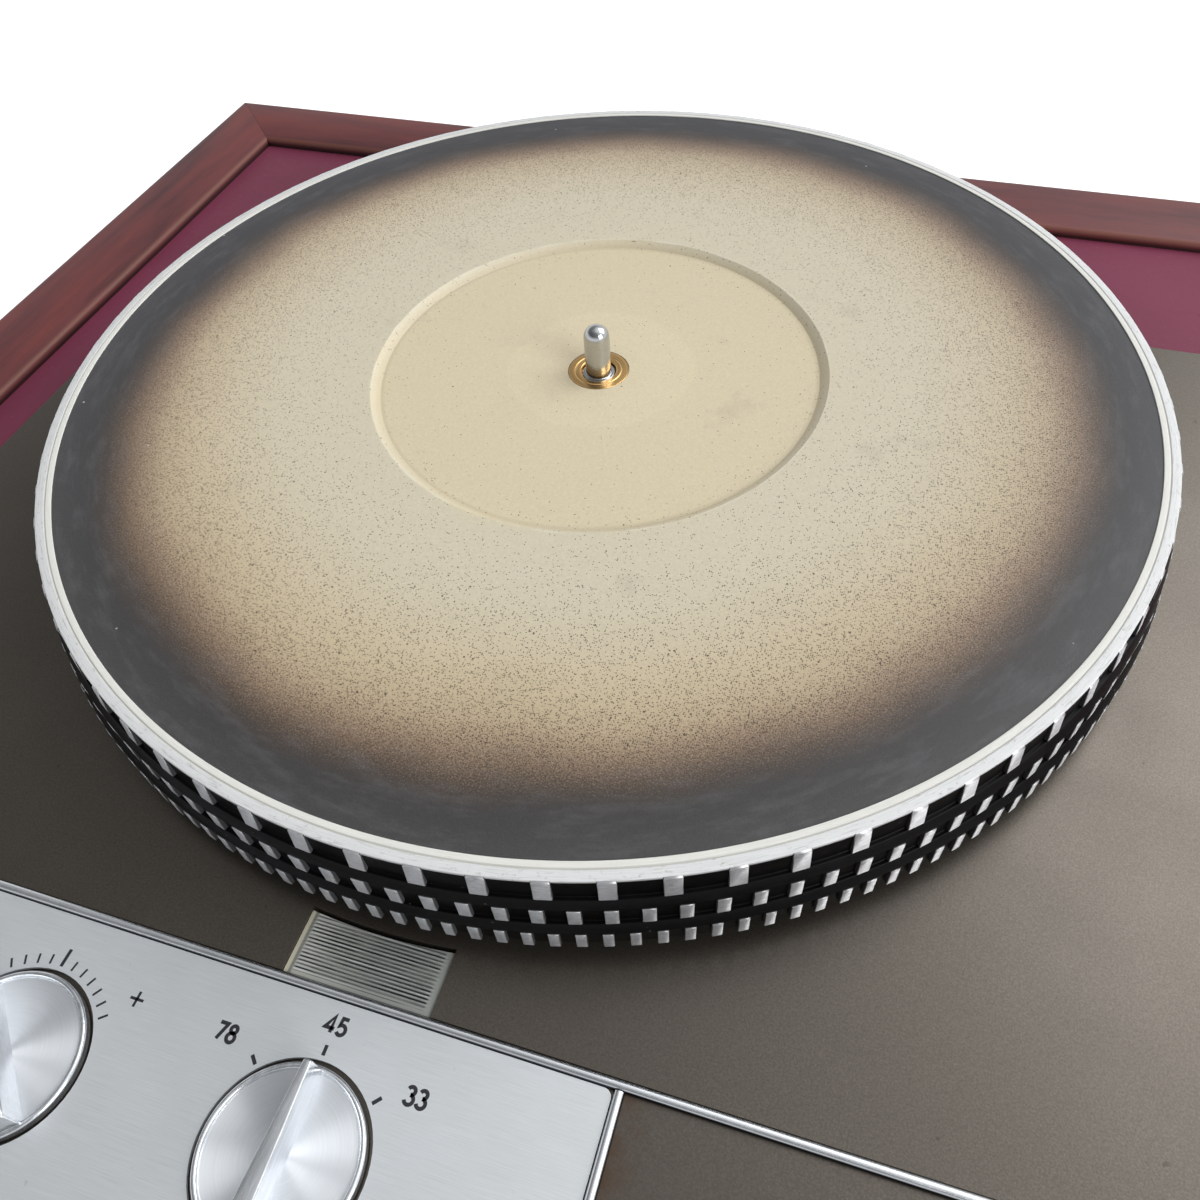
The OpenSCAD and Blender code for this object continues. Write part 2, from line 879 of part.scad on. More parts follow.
module platter() {
    core = 1.5;
    ledge_in = 0.5;
    turned = concat(
        [
            [hub_bush_r, label_z], [label_r - label_slope_w, label_z], [label_r, face_z],
            [ring_in_r, face_z], [ring_in_r, ring_z],
            [ring_groove_r - ring_groove_w, ring_z], [ring_groove_r, ring_z - face_drop],
            [ring_groove_r + ring_groove_w, ring_z], [platter_r, ring_z - face_drop / 2],
            [platter_r, ring_z - lug_top[0]]
        ],
        [
            for (k = [0 : 2])
                each [
                    [lug_wall_r[k] - core, ring_z - lug_top[k]],
                    [lug_wall_r[k] - core, ring_z - lug_top[k] - lug_h],
                    if (k < 2) [lug_wall_r[k] + ledge_in, ring_z - lug_top[k] - lug_h],
                    if (k < 2) [lug_wall_r[k + 1] + ledge_in, ring_z - lug_top[k + 1]]
                ]
        ],
        [[rim_in_r, ring_z - rim_h]],
        arc([rim_in_r - rim_fillet, disc_under - rim_fillet], rim_fillet, 0, 90, 6),
        [[hub_r, disc_under], [hub_r, hub_under], [hub_bush_r, hub_under]]
    );
    color(cast_colour)
        on_axis()
            union() {
                rotate_extrude($fn = 240)
                    polygon(turned);
                for (k = [0 : 2])
                    difference() {
                        translate([0, 0, ring_z - lug_top[k] - lug_h])
                            linear_extrude(lug_h)
                                polygon(lug_row(k));
                        post([0, 0], lug_wall_r[k] - 2 * core, ring_z - rim_h - over, ring_z + over);
                    }
            }
}

module hub_bush() {
    color(brass_colour)
        on_axis()
            difference() {
                post([0, 0], hub_bush_r, hub_seat, label_z);
                post([0, 0], hub_pin_r, hub_seat - over, label_z + over);
            }
}

module spindle() {
    dome_z = ring_z + spindle_h - spindle_r;
    color(steel_colour)
        on_axis()
            union() {
                post([0, 0], journal_r, shaft_low, hub_seat);
                post([0, 0], hub_pin_r, hub_seat, label_z - pin_drop);
                post([0, 0], hub_pin_r - neck_in, label_z - pin_drop, label_z - neck_drop);
                post([0, 0], spindle_r, label_z - neck_drop, dome_z);
                translate([0, 0, dome_z])
                    sphere(r = spindle_r);
            }
}

ear_spots = [for (a = ear_angles) pulley_c + polar(ear_r, a)];

module motor_pillars() {
    color(steel_colour)
        on_axis()
            for (c = ear_spots)
                post(c, pillar_r, pillar_end, deck_under);
}

module motor_grommets() {
    lip = 2;
    color(rubber_colour)
        on_axis()
            for (c = ear_spots)
                difference() {
                    union() {
                        post(c, grommet_r, ear_z - lip, ear_z + ear_t + lip);
                        post(c, grommet_r + lip, ear_z - lip, ear_z);
                        post(c, grommet_r + lip, ear_z + ear_t, ear_z + ear_t + lip);
                    }
                    post(c, pillar_r, ear_z - lip - over, ear_z + ear_t + lip + over);
                }
}

module pillar_nuts() {
    color(steel_colour)
        on_axis()
            for (c = ear_spots)
                difference() {
                    translate([c[0], c[1], pillar_end + nut_lift])
                        cylinder(r = grommet_r, h = nut_h, $fn = 6);
                    post(c, pillar_r, pillar_end, ear_z);
                }
}

cover_wall = 2;
cover_bevel = 5;
cover_step = 1;

// A turned motor cover: a cup with a boss that carries the shaft
module motor_cup(flip) {
    mirror([0, 0, flip])
        rotate_extrude()
            polygon([
                [motor_r, 0], [motor_r, cover_h - cover_bevel], [motor_r - cover_bevel, cover_h],
                [boss_r, cover_h], [boss_r, cover_h + boss_h],
                [motor_shaft_r + run_gap, cover_h + boss_h],
                [motor_shaft_r + run_gap, cover_h - cover_wall - cover_step],
                [motor_r - cover_bevel - cover_step, cover_h - cover_wall - cover_step],
                [motor_r - cover_wall, cover_h - cover_bevel - cover_step], [motor_r - cover_wall, 0]
            ]);
}

module upper_cover() {
    color(black_colour)
        on_axis()
            difference() {
                union() {
                    translate([pulley_c[0], pulley_c[1], motor_top - cover_h])
                        motor_cup(0);
                    for (c = ear_spots)
                        difference() {
                            link(pulley_c, c, grommet_r + ear_rim_w, ear_z, ear_z + ear_t);
                            post(pulley_c, motor_r - cover_wall / 2, ear_z - over, ear_z + ear_t + over);
                        }
                }
                for (c = ear_spots)
                    post(c, grommet_r, ear_z - over, ear_z + ear_t + over);
            }
}

module stator() {
    color(plain_colour)
        on_axis()
            difference() {
                post(pulley_c, motor_r, stator_z, stator_z + stator_h);
                post(pulley_c, rotor_r + rotor_gap, stator_z - over, stator_z + stator_h + over);
            }
}

module lower_cover() {
    color(black_colour)
        on_axis()
            translate([pulley_c[0], pulley_c[1], stator_z])
                motor_cup(1);
}

module rotor() {
    color(steel_colour)
        on_axis()
            difference() {
                post(pulley_c, rotor_r, stator_z, stator_z + stator_h);
                post(pulley_c, motor_shaft_r, stator_z - over, stator_z + stator_h + over);
            }
}

module motor_shaft() {
    color(steel_colour)
        on_axis()
            post(pulley_c, motor_shaft_r, shaft_bottom, pulley_z + 2 * pulley_step_h);
}

module drive_pulley() {
    color(brass_colour)
        on_axis()
            difference() {
                for (k = [0 : 2])
                    post(pulley_c, pulley_radii[k], pulley_z + k * pulley_step_h,
                        pulley_z + (k + 1) * pulley_step_h);
                post(pulley_c, motor_shaft_r, pulley_z - over, pulley_z + 2 * pulley_step_h);
            }
}

module eddy_disc() {
    color(alu_colour)
        on_axis()
            difference() {
                union() {
                    post(pulley_c, eddy_r, eddy_z, eddy_z + eddy_t);
                    post(pulley_c, eddy_hub_r, eddy_z - eddy_hub_h, eddy_z + eddy_t + eddy_hub_h);
                }
                post(pulley_c, motor_shaft_r, shaft_bottom, lower_z);
            }
}

// A pivot pin in the deck, with a collar that carries an arm
module pivot_pin(c) {
    post(c, pivot_r, deck_under, arm_z + arm_t + arm_boss_h + pivot_head_h);
    post(c, pivot_r + pivot_collar_w, deck_z, deck_z + pivot_collar_h);
}

module idler_pivot() {
    color(steel_colour)
        on_axis()
            pivot_pin(idler_pivot_c);
}

module idler_arm() {
    color(steel_colour)
        on_axis()
            difference() {
                union() {
                    link(idler_pivot_c, idler_c, arm_half_w, arm_z, arm_z + arm_t);
                    post(idler_pivot_c, pivot_r + arm_boss_w, arm_z, arm_z + arm_t + arm_boss_h);
                }
                post(idler_pivot_c, pivot_r + run_gap, arm_z - over, arm_z + arm_t + arm_boss_h + over);
                post(idler_c, idler_axle_r, arm_z - over, arm_z + arm_t + over);
            }
}

module idler_axle() {
    color(steel_colour)
        on_axis()
            post(idler_c, idler_axle_r, arm_z, clip_z + clip_t + axle_tail);
}

module idler_hub() {
    color(alu_colour)
        on_axis()
            difference() {
                union() {
                    post(idler_c, idler_r - tyre_w, idler_z + hub_inset, idler_z + idler_t - hub_inset);
                    post(idler_c, idler_boss_r, arm_z + arm_t + pass_gap, idler_boss_top);
                }
                post(idler_c, idler_axle_r + run_gap, arm_z, idler_boss_top + over);
            }
}

module idler_tyre() {
    color(rubber_colour)
        on_axis()
            difference() {
                post(idler_c, idler_r, idler_z, idler_z + idler_t);
                post(idler_c, idler_r - tyre_w, idler_z - over, idler_z + idler_t + over);
            }
}

module idler_clip() {
    color(steel_colour)
        on_axis()
            difference() {
                post(idler_c, idler_axle_r + clip_w, clip_z, clip_z + clip_t);
                post(idler_c, idler_axle_r, idler_boss_top, clip_z + clip_t + over);
            }
}

module brake_pivot() {
    color(steel_colour)
        on_axis()
            pivot_pin(brake_pivot_c);
}

tab_t = 2.5;

module brake_arm() {
    tab_c = polar(pad_r - pad_t - tab_t / 2, brake_angle);
    color(steel_colour)
        on_axis()
            union() {
                difference() {
                    union() {
                        link(brake_pivot_c, tab_c, arm_half_w, arm_z, arm_z + arm_t);
                        post(brake_pivot_c, pivot_r + arm_boss_w, arm_z, arm_z + arm_t + arm_boss_h);
                    }
                    post(brake_pivot_c, pivot_r + run_gap, arm_z - over, arm_z + arm_t + arm_boss_h + over);
                    rotate(brake_angle)
                        block([pad_r - pad_t, -pad_w], [pad_r, pad_w], arm_z - over, arm_z + arm_t + over);
                }
                rotate(brake_angle)
                    block([pad_r - pad_t - tab_t, -pad_w / 2], [pad_r - pad_t, pad_w / 2],
                        arm_z, pad_z + pad_h);
            }
}

module brake_pad() {
    color(rubber_colour)
        on_axis()
            intersection() {
                rotate(brake_angle)
                    block([pad_r - pad_t, -pad_w / 2], [pad_r, pad_w / 2], pad_z, pad_z + pad_h);
                post([0, 0], pad_r, pad_z - over, pad_z + pad_h + over, $fn = 480);
            }
}

// A post with a collar above and below the magnet arm's boss
module magnet_post() {
    boss_low = magnet_z1 - magnet_boss_low;
    boss_high = magnet_z1 + magnet_arm_t + magnet_boss_high;
    low = boss_low - over - post_collar_t;
    collar_r = pillar_r + post_collar_w;
    color(steel_colour)
        on_axis() {
            post(magnet_post_c, pillar_r, low, deck_under);
            post(magnet_post_c, collar_r, boss_high + pass_gap, boss_high + post_collar_t);
            post(magnet_post_c, collar_r, low, low + post_collar_t);
        }
}

module magnet_arm() {
    boss_low = magnet_z1 - magnet_boss_low;
    boss_high = magnet_z1 + magnet_arm_t + magnet_boss_high;
    color(steel_colour)
        on_axis()
            difference() {
                union() {
                    link(magnet_post_c, magnet_c, arm_half_w, magnet_z1, magnet_z1 + magnet_arm_t);
                    post(magnet_post_c, magnet_boss_r, boss_low, boss_high);
                }
                post(magnet_post_c, pillar_r + run_gap, boss_low - over, boss_high + over);
            }
}

module brake_magnet() {
    color(black_colour)
        on_axis()
            translate([magnet_c[0], magnet_c[1], 0])
                rotate(magnet_dir)
                    difference() {
                        block([-magnet_reach, -magnet_w / 2], [magnet_yoke, magnet_w / 2],
                            magnet_z0, magnet_z1);
                        block([-magnet_reach - over, -magnet_w], [0, magnet_w],
                            magnet_z0 + magnet_pole, magnet_z1 - magnet_pole);
                    }
}

// A dished knob with a raised rim and a tapering blade that points along +Y
module knob(x, angle) {
    rim_top = plate_z + knob_rise;
    rim_round = knob_rim_w / 2;
    tip_r = knob_r - knob_rim_w / 2;
    turned = concat(
        [[0, knob_under], [knob_r, knob_under]],
        arc([knob_r - rim_round, rim_top - rim_round], rim_round, 0, 180, 8),
        [[knob_r - knob_rim_w, knob_face_z], [0, knob_face_z]]
    );
    color(chrome_colour)
        on_axis()
            translate([x, knob_y, 0])
                rotate(angle)
                    difference() {
                        union() {
                            rotate_extrude()
                                polygon(turned);
                            intersection() {
                                translate([0, 0, shaft_top])
                                    linear_extrude(plate_z + blade_h - shaft_top)
                                        polygon([
                                            [-blade_tail_w / 2, -knob_r], [blade_tail_w / 2, -knob_r],
                                            [blade_tip_w / 2, knob_r], [-blade_tip_w / 2, knob_r]
                                        ]);
                                post([0, 0], tip_r, knob_under, plate_z + blade_h + over);
                            }
                        }
                        post([0, 0], knob_shaft_r, knob_under - over, shaft_top);
                    }
}

// A knob's shaft with a flat-sided cam at its lower end
module knob_shaft(x, angle, flat) {
    low = deck_under - knob_shaft_len;
    color(steel_colour)
        on_axis()
            translate([x, knob_y, 0])
                rotate(angle)
                    union() {
                        post([0, 0], knob_shaft_r, low, shaft_top);
                        difference() {
                            post([0, 0], cam_r, low, low + cam_h);
                            block([cam_r - flat, -cam_r], [cam_r, cam_r], low - over, low + cam_h + over);
                        }
                        post([0, 0], knob_bush_r, low, deck_under - knob_bush_len - pass_gap);
                    }
}

module speed_knob() {
    knob(speed_x, 0);
}

module speed_shaft() {
    knob_shaft(speed_x, 0, speed_flat);
}

module pitch_knob() {
    knob(pitch_x, pitch_angle);
}

module pitch_shaft() {
    knob_shaft(pitch_x, pitch_angle, pitch_flat);
}

power_angle = -30;

module power_knob() {
    knob(power_x, power_angle);
}

module power_shaft() {
    knob_shaft(power_x, power_angle, power_flat);
}

switch_size = [14, 28, 18];
switch_below = 4;
switch_strap_t = 4;
plunger_len = 4;
plunger_r = 2;
plunger_root = 0.5;

// A boxed switch whose plunger reaches to the power knob's cam, with a strap up to the deck
module mains_switch() {
    cam_low = deck_under - knob_shaft_len;
    low = cam_low - switch_below;
    top = low + switch_size[2];
    x0 = power_x - cam_r - pass_gap - plunger_len - switch_size[0];
    y0 = knob_y - switch_size[1] / 2;
    color(black_colour)
        on_axis()
            union() {
                translate([x0, y0, low])
                    cube(switch_size);
                translate([x0 + switch_size[0] - plunger_root, knob_y, cam_low + cam_h / 2])
                    rotate([0, 90, 0])
                        cylinder(r = plunger_r, h = plunger_len + plunger_root);
                translate([x0, y0, top - over])
                    cube([switch_strap_t, switch_size[1], deck_under - top + over]);
            }
}

terminal_size = [44, 20, 16];
terminal_ways = 4;
terminal_setback = 70;
terminal_hole_r = 3;
terminal_hole_d = 6;

module terminal_block() {
    way = terminal_size[0] / terminal_ways;
    color([0.85, 0.83, 0.76])
        translate([grommet_x, inner_y - terminal_setback, base_top])
            difference() {
                translate([-terminal_size[0] / 2, 0, 0])
                    cube(terminal_size);
                for (i = [0 : terminal_ways - 1])
                    translate([(i - (terminal_ways - 1) / 2) * way, terminal_size[1] / 2,
                            terminal_size[2] - terminal_hole_d])
                        cylinder(r = terminal_hole_r, h = terminal_hole_d + over);
            }
}

front_rail();
rear_rail();
left_rail();
right_rail();
top_board();
base_board();
corner_blocks();
board_cleats();
feet();
foot_screws();
base_screws();
cable_grommet();
chassis();
chassis_bolts();
control_plate();
rear_trim();
end_trim();
strobe_window();
lamp_holder();
strobe_lamp();
knob_bushes();
bearing_housing();
bearing_bushes();
bearing_cap();
thrust_ball();
bearing_screws();
platter();
hub_bush();
spindle();
motor_pillars();
motor_grommets();
pillar_nuts();
upper_cover();
stator();
lower_cover();
rotor();
motor_shaft();
drive_pulley();
eddy_disc();
idler_pivot();
idler_arm();
idler_axle();
idler_hub();
idler_tyre();
idler_clip();
brake_pivot();
brake_arm();
brake_pad();
magnet_post();
magnet_arm();
brake_magnet();
speed_knob();
speed_shaft();
pitch_knob();
pitch_shaft();
power_knob();
power_shaft();
mains_switch();
terminal_block();
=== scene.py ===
import math
from functools import reduce

import bmesh
import bpy
import numpy as np
from bpy.props import FloatProperty, FloatVectorProperty, IntProperty, PointerProperty
from mathutils import Matrix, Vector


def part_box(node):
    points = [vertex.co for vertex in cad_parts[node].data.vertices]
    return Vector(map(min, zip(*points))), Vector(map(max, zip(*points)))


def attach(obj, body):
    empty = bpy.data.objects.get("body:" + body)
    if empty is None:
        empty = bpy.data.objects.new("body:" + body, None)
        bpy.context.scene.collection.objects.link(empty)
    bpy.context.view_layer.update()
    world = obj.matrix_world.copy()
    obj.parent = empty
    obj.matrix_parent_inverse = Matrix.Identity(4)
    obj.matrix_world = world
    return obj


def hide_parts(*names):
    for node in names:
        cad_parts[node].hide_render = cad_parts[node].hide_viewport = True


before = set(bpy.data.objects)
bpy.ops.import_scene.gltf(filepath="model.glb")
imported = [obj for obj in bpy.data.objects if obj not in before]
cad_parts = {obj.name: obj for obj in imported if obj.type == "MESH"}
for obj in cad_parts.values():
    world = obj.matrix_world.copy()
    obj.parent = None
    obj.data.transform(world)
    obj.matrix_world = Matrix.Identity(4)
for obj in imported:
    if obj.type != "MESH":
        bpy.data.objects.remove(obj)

bl_info = {
    "name": "Idler turntable dressing",
    "version": (1, 0, 0),
    "blender": (4, 5, 0),
    "location": "3D View > Sidebar > Turntable",
    "description": "Dresses the packed turntable with its visible surfaces and finishes",
    "category": "Object",
}

# Lengths below are in millimetres, in the frame of the packed model; meshes are written in metres
MM = 0.001
TURN = 2 * math.pi
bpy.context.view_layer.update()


def corners(node):
    """Lowest and highest corner of a CAD node, in millimetres."""
    return [np.array(corner, float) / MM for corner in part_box(node)]


def middle(node):
    """Centre of a CAD node's box seen from above, in millimetres."""
    low, high = corners(node)
    return (low[:2] + high[:2]) / 2


def srgb(red, green, blue):
    """Linear colour of three display levels from 0 to 255."""
    level = np.array([red, green, blue], float) / 255
    return tuple(np.where(level <= 0.04045, level / 12.92, ((level + 0.055) / 1.055) ** 2.4))


# Places that the frame gives
AXIS = middle("spindle")
RING_Z = corners("platter")[1][2]
DECK_Z = corners("chassis")[1][2]
PLATE_END, PLATE_Z = corners("control_plate")[1][[0, 2]]
TRIM_FRONT, TRIM_REAR = (corner[1] for corner in corners("rear_trim"))
KNOBS = {name: middle(name + "_knob") for name in ("speed", "pitch", "power")}


def size_prop(name, description, default):
    """A length that a user may change, given in millimetres and kept in Blender's units."""
    return FloatProperty(name=name, description=description, default=default * MM, unit="LENGTH")


def angle_prop(name, description, degrees):
    """An angle that a user may change, given in degrees."""
    return FloatProperty(name=name, description=description, default=math.radians(degrees), subtype="ANGLE")


def colour_prop(name, description, *levels):
    """A colour that a user may change, given as three display levels."""
    return FloatVectorProperty(name=name, description=description, default=srgb(*levels), subtype="COLOR", size=3)


class TurntablePlatterSizes(bpy.types.PropertyGroup):
    """Sizes of the platter, its hub and its spindle."""

    ring_r: size_prop("Ring radius", "Outer radius of the bare ring", 152.6)
    ring_w: size_prop("Ring width", "Width of the bare ring", 4.1)
    groove_share: FloatProperty(
        name="Groove place", description="Share of the ring's width inside its groove", default=0.4)
    groove_w: size_prop("Groove width", "Width of the groove in the ring", 0.6)
    face_drop: size_prop("Face drop", "Drop from the ring to the painted face", 0.35)
    label_r: size_prop("Label radius", "Radius of the label recess at its upper edge", 64.4)
    label_slope: size_prop("Label slope", "Width of the label recess's sloping edge", 2.5)
    label_depth: size_prop("Label depth", "Depth of the label recess", 1.7)
    disc_t: size_prop("Disc thickness", "Thickness of the platter's disc", 6.0)
    rim_h: size_prop("Rim height", "Height of the rim below the ring", 23.8)
    rim_t: size_prop("Rim thickness", "Thickness of the rim under the ring", 13.6)
    lug_h: size_prop("Lug height", "Height of the strobe lugs", 6.2)
    lug_lead: size_prop("Lug lead", "Stand of the upper lugs beyond the ring", 0.9)
    lug_stand: size_prop("Lug stand", "Stand of a lug from the painted wall", 0.95)
    lug_bevel: size_prop("Lug bevel", "Bevel of a lug's edges", 0.12)
    row_step: size_prop("Row step", "Outward step from one row of lugs to the next", 1.4)
    ring_lip: size_prop("Ring lip", "Depth of the ring's outer edge", 0.8)
    lug_lean: size_prop("Lug lean", "Lean of an upper lug's face from its foot to its top", 0.55)
    lug_drop: size_prop("Lug drop", "Drop of an upper lug's top from the ring to its face", 0.3)
    ledge_out: size_prop("Ledge", "Stand of the ledges from the painted wall", 0.88)
    hub_r: size_prop("Hub radius", "Radius of the hub under the disc", 18.0)
    hub_h: size_prop("Hub height", "Height of the hub under the disc", 6.5)
    bush_r: size_prop("Bush radius", "Radius of the brass bush", 8.7)
    bush_bore: size_prop("Bush bore", "Radius of the bush's bore", 5.0)
    pin_r: size_prop("Spindle radius", "Radius of the spindle above the platter", 3.6)
    journal_r: size_prop("Journal radius", "Radius of the shaft in the bearing", 8.0)
    steps: IntProperty(name="Steps", description="Steps of the turned surface", default=600)


class TurntableControlSizes(bpy.types.PropertyGroup):
    """Sizes of the knobs, the trims, the strobe window and the print."""

    knob_r: size_prop("Knob radius", "Outer radius of a knob", 16.2)
    knob_rim: size_prop("Knob rim", "Width of a knob's rim", 1.25)
    knob_rise: size_prop("Knob rise", "Height of a knob's rim above the plate", 1.3)
    knob_dish: size_prop("Knob dish", "Drop from a knob's rim to its face", 0.7)
    knob_sunk: size_prop("Knob depth", "Depth of a knob's underside below the plate", 1.1)
    blade_h: size_prop("Blade height", "Height of a knob's blade above the plate", 8.0)
    blade_tip: size_prop("Blade tip", "Width of a blade at its pointer", 2.0)
    blade_tail: size_prop("Blade tail", "Width of a blade at its tail", 4.6)
    blade_bevel: size_prop("Blade bevel", "Rounding of a blade's edges", 0.35)
    pitch_rest: angle_prop("Pitch rest", "Turn of the pitch knob at rest", 44)
    power_rest: angle_prop("Power rest", "Turn of the power knob at rest", -30)
    window_r: size_prop("Window arc", "Radius of the window's rear edge about the platter axis", 157.0)
    window_w: size_prop("Window width", "Width of the strobe window", 33.4)
    window_ribs: IntProperty(name="Window ribs", description="Ribs on the strobe window", default=17)
    rib_h: size_prop("Rib height", "Height of the window's ribs", 0.55)
    window_gap: size_prop("Window gap", "Dark gap behind the strobe window", 0.7)
    ink_w: size_prop("Ink width", "Width of a printed line", 0.45)
    ink_t: size_prop("Ink thickness", "Thickness of the printed lines", 0.03)
    figure_h: size_prop("Figure height", "Height of the printed figures", 3.4)


class TurntablePlinthSizes(bpy.types.PropertyGroup):
    """Sizes of the plinth's rails and feet."""

    rail_w: size_prop("Rail width", "Width of a rail seen from above", 27.0)
    bead_r: size_prop("Inner round", "Radius of the rails' inner top edge", 2.0)
    edge_r: size_prop("Outer round", "Radius of the rails' outer top edge", 3.0)
    corner_r: size_prop("Corner round", "Radius of the plinth's outer upright corners", 4.5)
    crown: size_prop("Crown", "Drop of the rails' top from its middle to its edges", 0.6)
    fall: size_prop("Fall", "Further drop of the rails' top to its inner edge", 2.3)
    joint_gap: size_prop("Mitre gap", "Gap between two mitred ends", 0.05)
    foot_taper: size_prop("Foot taper", "Narrowing of a foot towards the floor", 4.0)
    foot_sink: size_prop("Foot recess", "Depth of the screw's recess in a foot", 6.0)
    foot_sink_r: size_prop("Foot recess radius", "Radius of the screw's recess in a foot", 7.0)
    screw_r: size_prop("Screw radius", "Radius of the screw hole in a foot", 2.5)


class TurntableColours(bpy.types.PropertyGroup):
    """Colours of the finishes."""

    face: colour_prop("Face", "Beige paint of the platter", 208, 199, 176)
    label: colour_prop("Label", "Paint in the label recess", 212, 199, 169)
    brown: colour_prop("Speckle", "Brown specks of the platter's paint", 60, 45, 34)
    charcoal: colour_prop("Charcoal", "Outer band of the platter's paint", 60, 60, 63)
    ring: colour_prop("Ring", "Bare metal of the ring", 223, 224, 224)
    lug: colour_prop("Lugs", "Bare metal of the lug faces", 218, 219, 221)
    rim: colour_prop("Rim", "Black paint of the rim", 9, 9, 10)
    brass: colour_prop("Brass", "Brass of the bushes", 226, 184, 122)
    steel: colour_prop("Steel", "Ground steel", 190, 191, 192)
    deck: colour_prop("Deck", "Metallic paint of the deck", 94, 88, 81)
    plate: colour_prop("Plate", "Brushed control plate", 224, 228, 231)
    chrome: colour_prop("Chrome", "Chrome trims", 228, 231, 235)
    ink: colour_prop("Ink", "Print on the plate", 36, 36, 42)
    window: colour_prop("Window", "Clear plastic of the strobe window", 208, 210, 200)
    wood: colour_prop("Wood", "Stained hardwood of the rails", 109, 57, 58)
    board: colour_prop("Board", "Lacquered top board", 119, 55, 76)
    ply: colour_prop("Ply", "Plain wood inside the plinth", 176, 146, 106)
    rubber: colour_prop("Rubber", "Rubber pieces", 40, 40, 42)


def in_mm(group):
    """The values of a property group as a plain dictionary, with its lengths in millimetres."""
    values = {}
    for key, prop in group.bl_rna.properties.items():
        if key not in ("rna_type", "name"):
            value = getattr(group, key)
            values[key] = value / MM if prop.unit == "LENGTH" else value
    return values


# Meshes


def unit(vectors):
    """One vector, or each row of vectors, at length one."""
    return vectors / np.linalg.norm(vectors, axis=-1, keepdims=True)


def grid_faces(rows, cols, close_rows=False, close_cols=False):
    """Quads of a grid of points, wrapped along either way, with the normal along d/drow x d/dcol.
    Returns the corners' indices and their unwrapped row and column numbers."""
    first_row = np.arange(rows if close_rows else rows - 1)
    first_col = np.arange(cols if close_cols else cols - 1)
    row, col = (index.ravel() for index in np.meshgrid(first_row, first_col, indexing="ij"))
    row4 = np.stack([row, row + 1, row + 1, row], axis=1)
    col4 = np.stack([col, col, col + 1, col + 1], axis=1)
    return (row4 % rows) * cols + col4 % cols, row4, col4


def fillet(outline, steps=4):
    """An open outline through points (a, b, radius), in which a point with a radius becomes an arc that
    touches both its sides: the arc's points turn evenly about the corner's inner centre."""
    points = np.array(outline, float)
    drawn = [points[:1, :2]]
    for before, here, after in zip(points[:-2], points[1:-1], points[2:]):
        if here[2] == 0:
            drawn.append(here[None, :2])
            continue
        side_a, side_b = unit(before[:2] - here[:2]), unit(after[:2] - here[:2])
        half = math.acos(np.clip(side_a @ side_b, -1, 1)) / 2
        centre = here[:2] + unit(side_a + side_b) * here[2] / math.sin(half)
        start = here[:2] + side_a * here[2] / math.tan(half) - centre
        end = here[:2] + side_b * here[2] / math.tan(half) - centre
        bend = math.pi - 2 * half
        share = np.linspace(0, 1, steps + 1)[:, None]
        arc = start * np.sin((1 - share) * bend) + end * np.sin(share * bend)
        drawn.append(centre + arc / math.sin(bend))
    drawn.append(points[-1:, :2])
    return np.vstack(drawn)


def distance_along(path):
    """Distance along a path to each of its points."""
    return np.append(0, np.cumsum(np.linalg.norm(np.diff(path, axis=0), axis=1)))


def round_of(outline):
    """Distance round a closed outline to each of its points, and back to the first."""
    return distance_along(np.vstack([outline, outline[:1]]))


def tube(points, by_row, by_column, closed):
    """Surface over a grid of points, an array (rows, columns, 3), in which each row is a closed outline. A
    closed tube's last row joins its first; an open one has a flat cap at both ends. UV is (the row's value,
    the column's value)."""
    rows, columns = points.shape[:2]
    quads, row4, col4 = grid_faces(rows, columns, closed, True)
    faces = quads.tolist()
    uv = np.stack([by_row[row4 % rows], by_column[col4]], axis=2).reshape(-1, 2)
    if not closed:
        caps = np.stack([np.arange(columns), (rows - 1) * columns + np.arange(columns)[::-1]])
        faces += caps.tolist()
        cap_uv = np.stack([by_row[caps // columns], by_column[caps % columns]], axis=2)
        uv = np.vstack([uv, cap_uv.reshape(-1, 2)])
    return points.reshape(-1, 3), faces, uv


def lathe(profile, steps, centre, closed=False):
    """Turned surface: the profile's point (r, z) at angle a is (cx + r cos a, cy + r sin a, z). An open
    profile is closed by a flat cap at each end. UV is (turns, distance along the profile)."""
    angle = TURN * np.arange(steps) / steps
    r, z = profile[:, 0, None], profile[:, 1, None]
    points = np.stack([centre[0] + r * np.cos(angle), centre[1] + r * np.sin(angle), z + 0 * angle], axis=2)
    points, faces, uv = tube(points, distance_along(profile), np.arange(steps + 1) / steps, closed)
    return points, faces, uv[:, ::-1]


def sweep(stations, closed_path=False, girth=None):
    """Surface through stations of equal closed outlines: an array (stations, outline points, 3). The ends
    are closed by their own outlines. UV is (distance along the path, distance round the outline), where the
    distance round is the first station's unless it is given."""
    girth = round_of(stations[0]) if girth is None else girth
    return tube(stations, distance_along(stations.mean(axis=1)), girth, closed_path)


def joined(*parts):
    """Several (points, faces, uv) as one, with each one's faces counted on from the last."""
    offsets = np.cumsum([0] + [len(points) for points, _, _ in parts[:-1]])
    faces = [[int(shift) + i for i in face] for shift, part in zip(offsets, parts) for face in part[1]]
    return np.vstack([part[0] for part in parts]), faces, np.vstack([part[2] for part in parts])


def face_outward(mesh):
    """Turns the faces of each closed shell in a mesh to point out of it."""
    shell = bmesh.new()
    shell.from_mesh(mesh)
    bmesh.ops.recalc_face_normals(shell, faces=shell.faces)
    shell.to_mesh(mesh)
    shell.free()


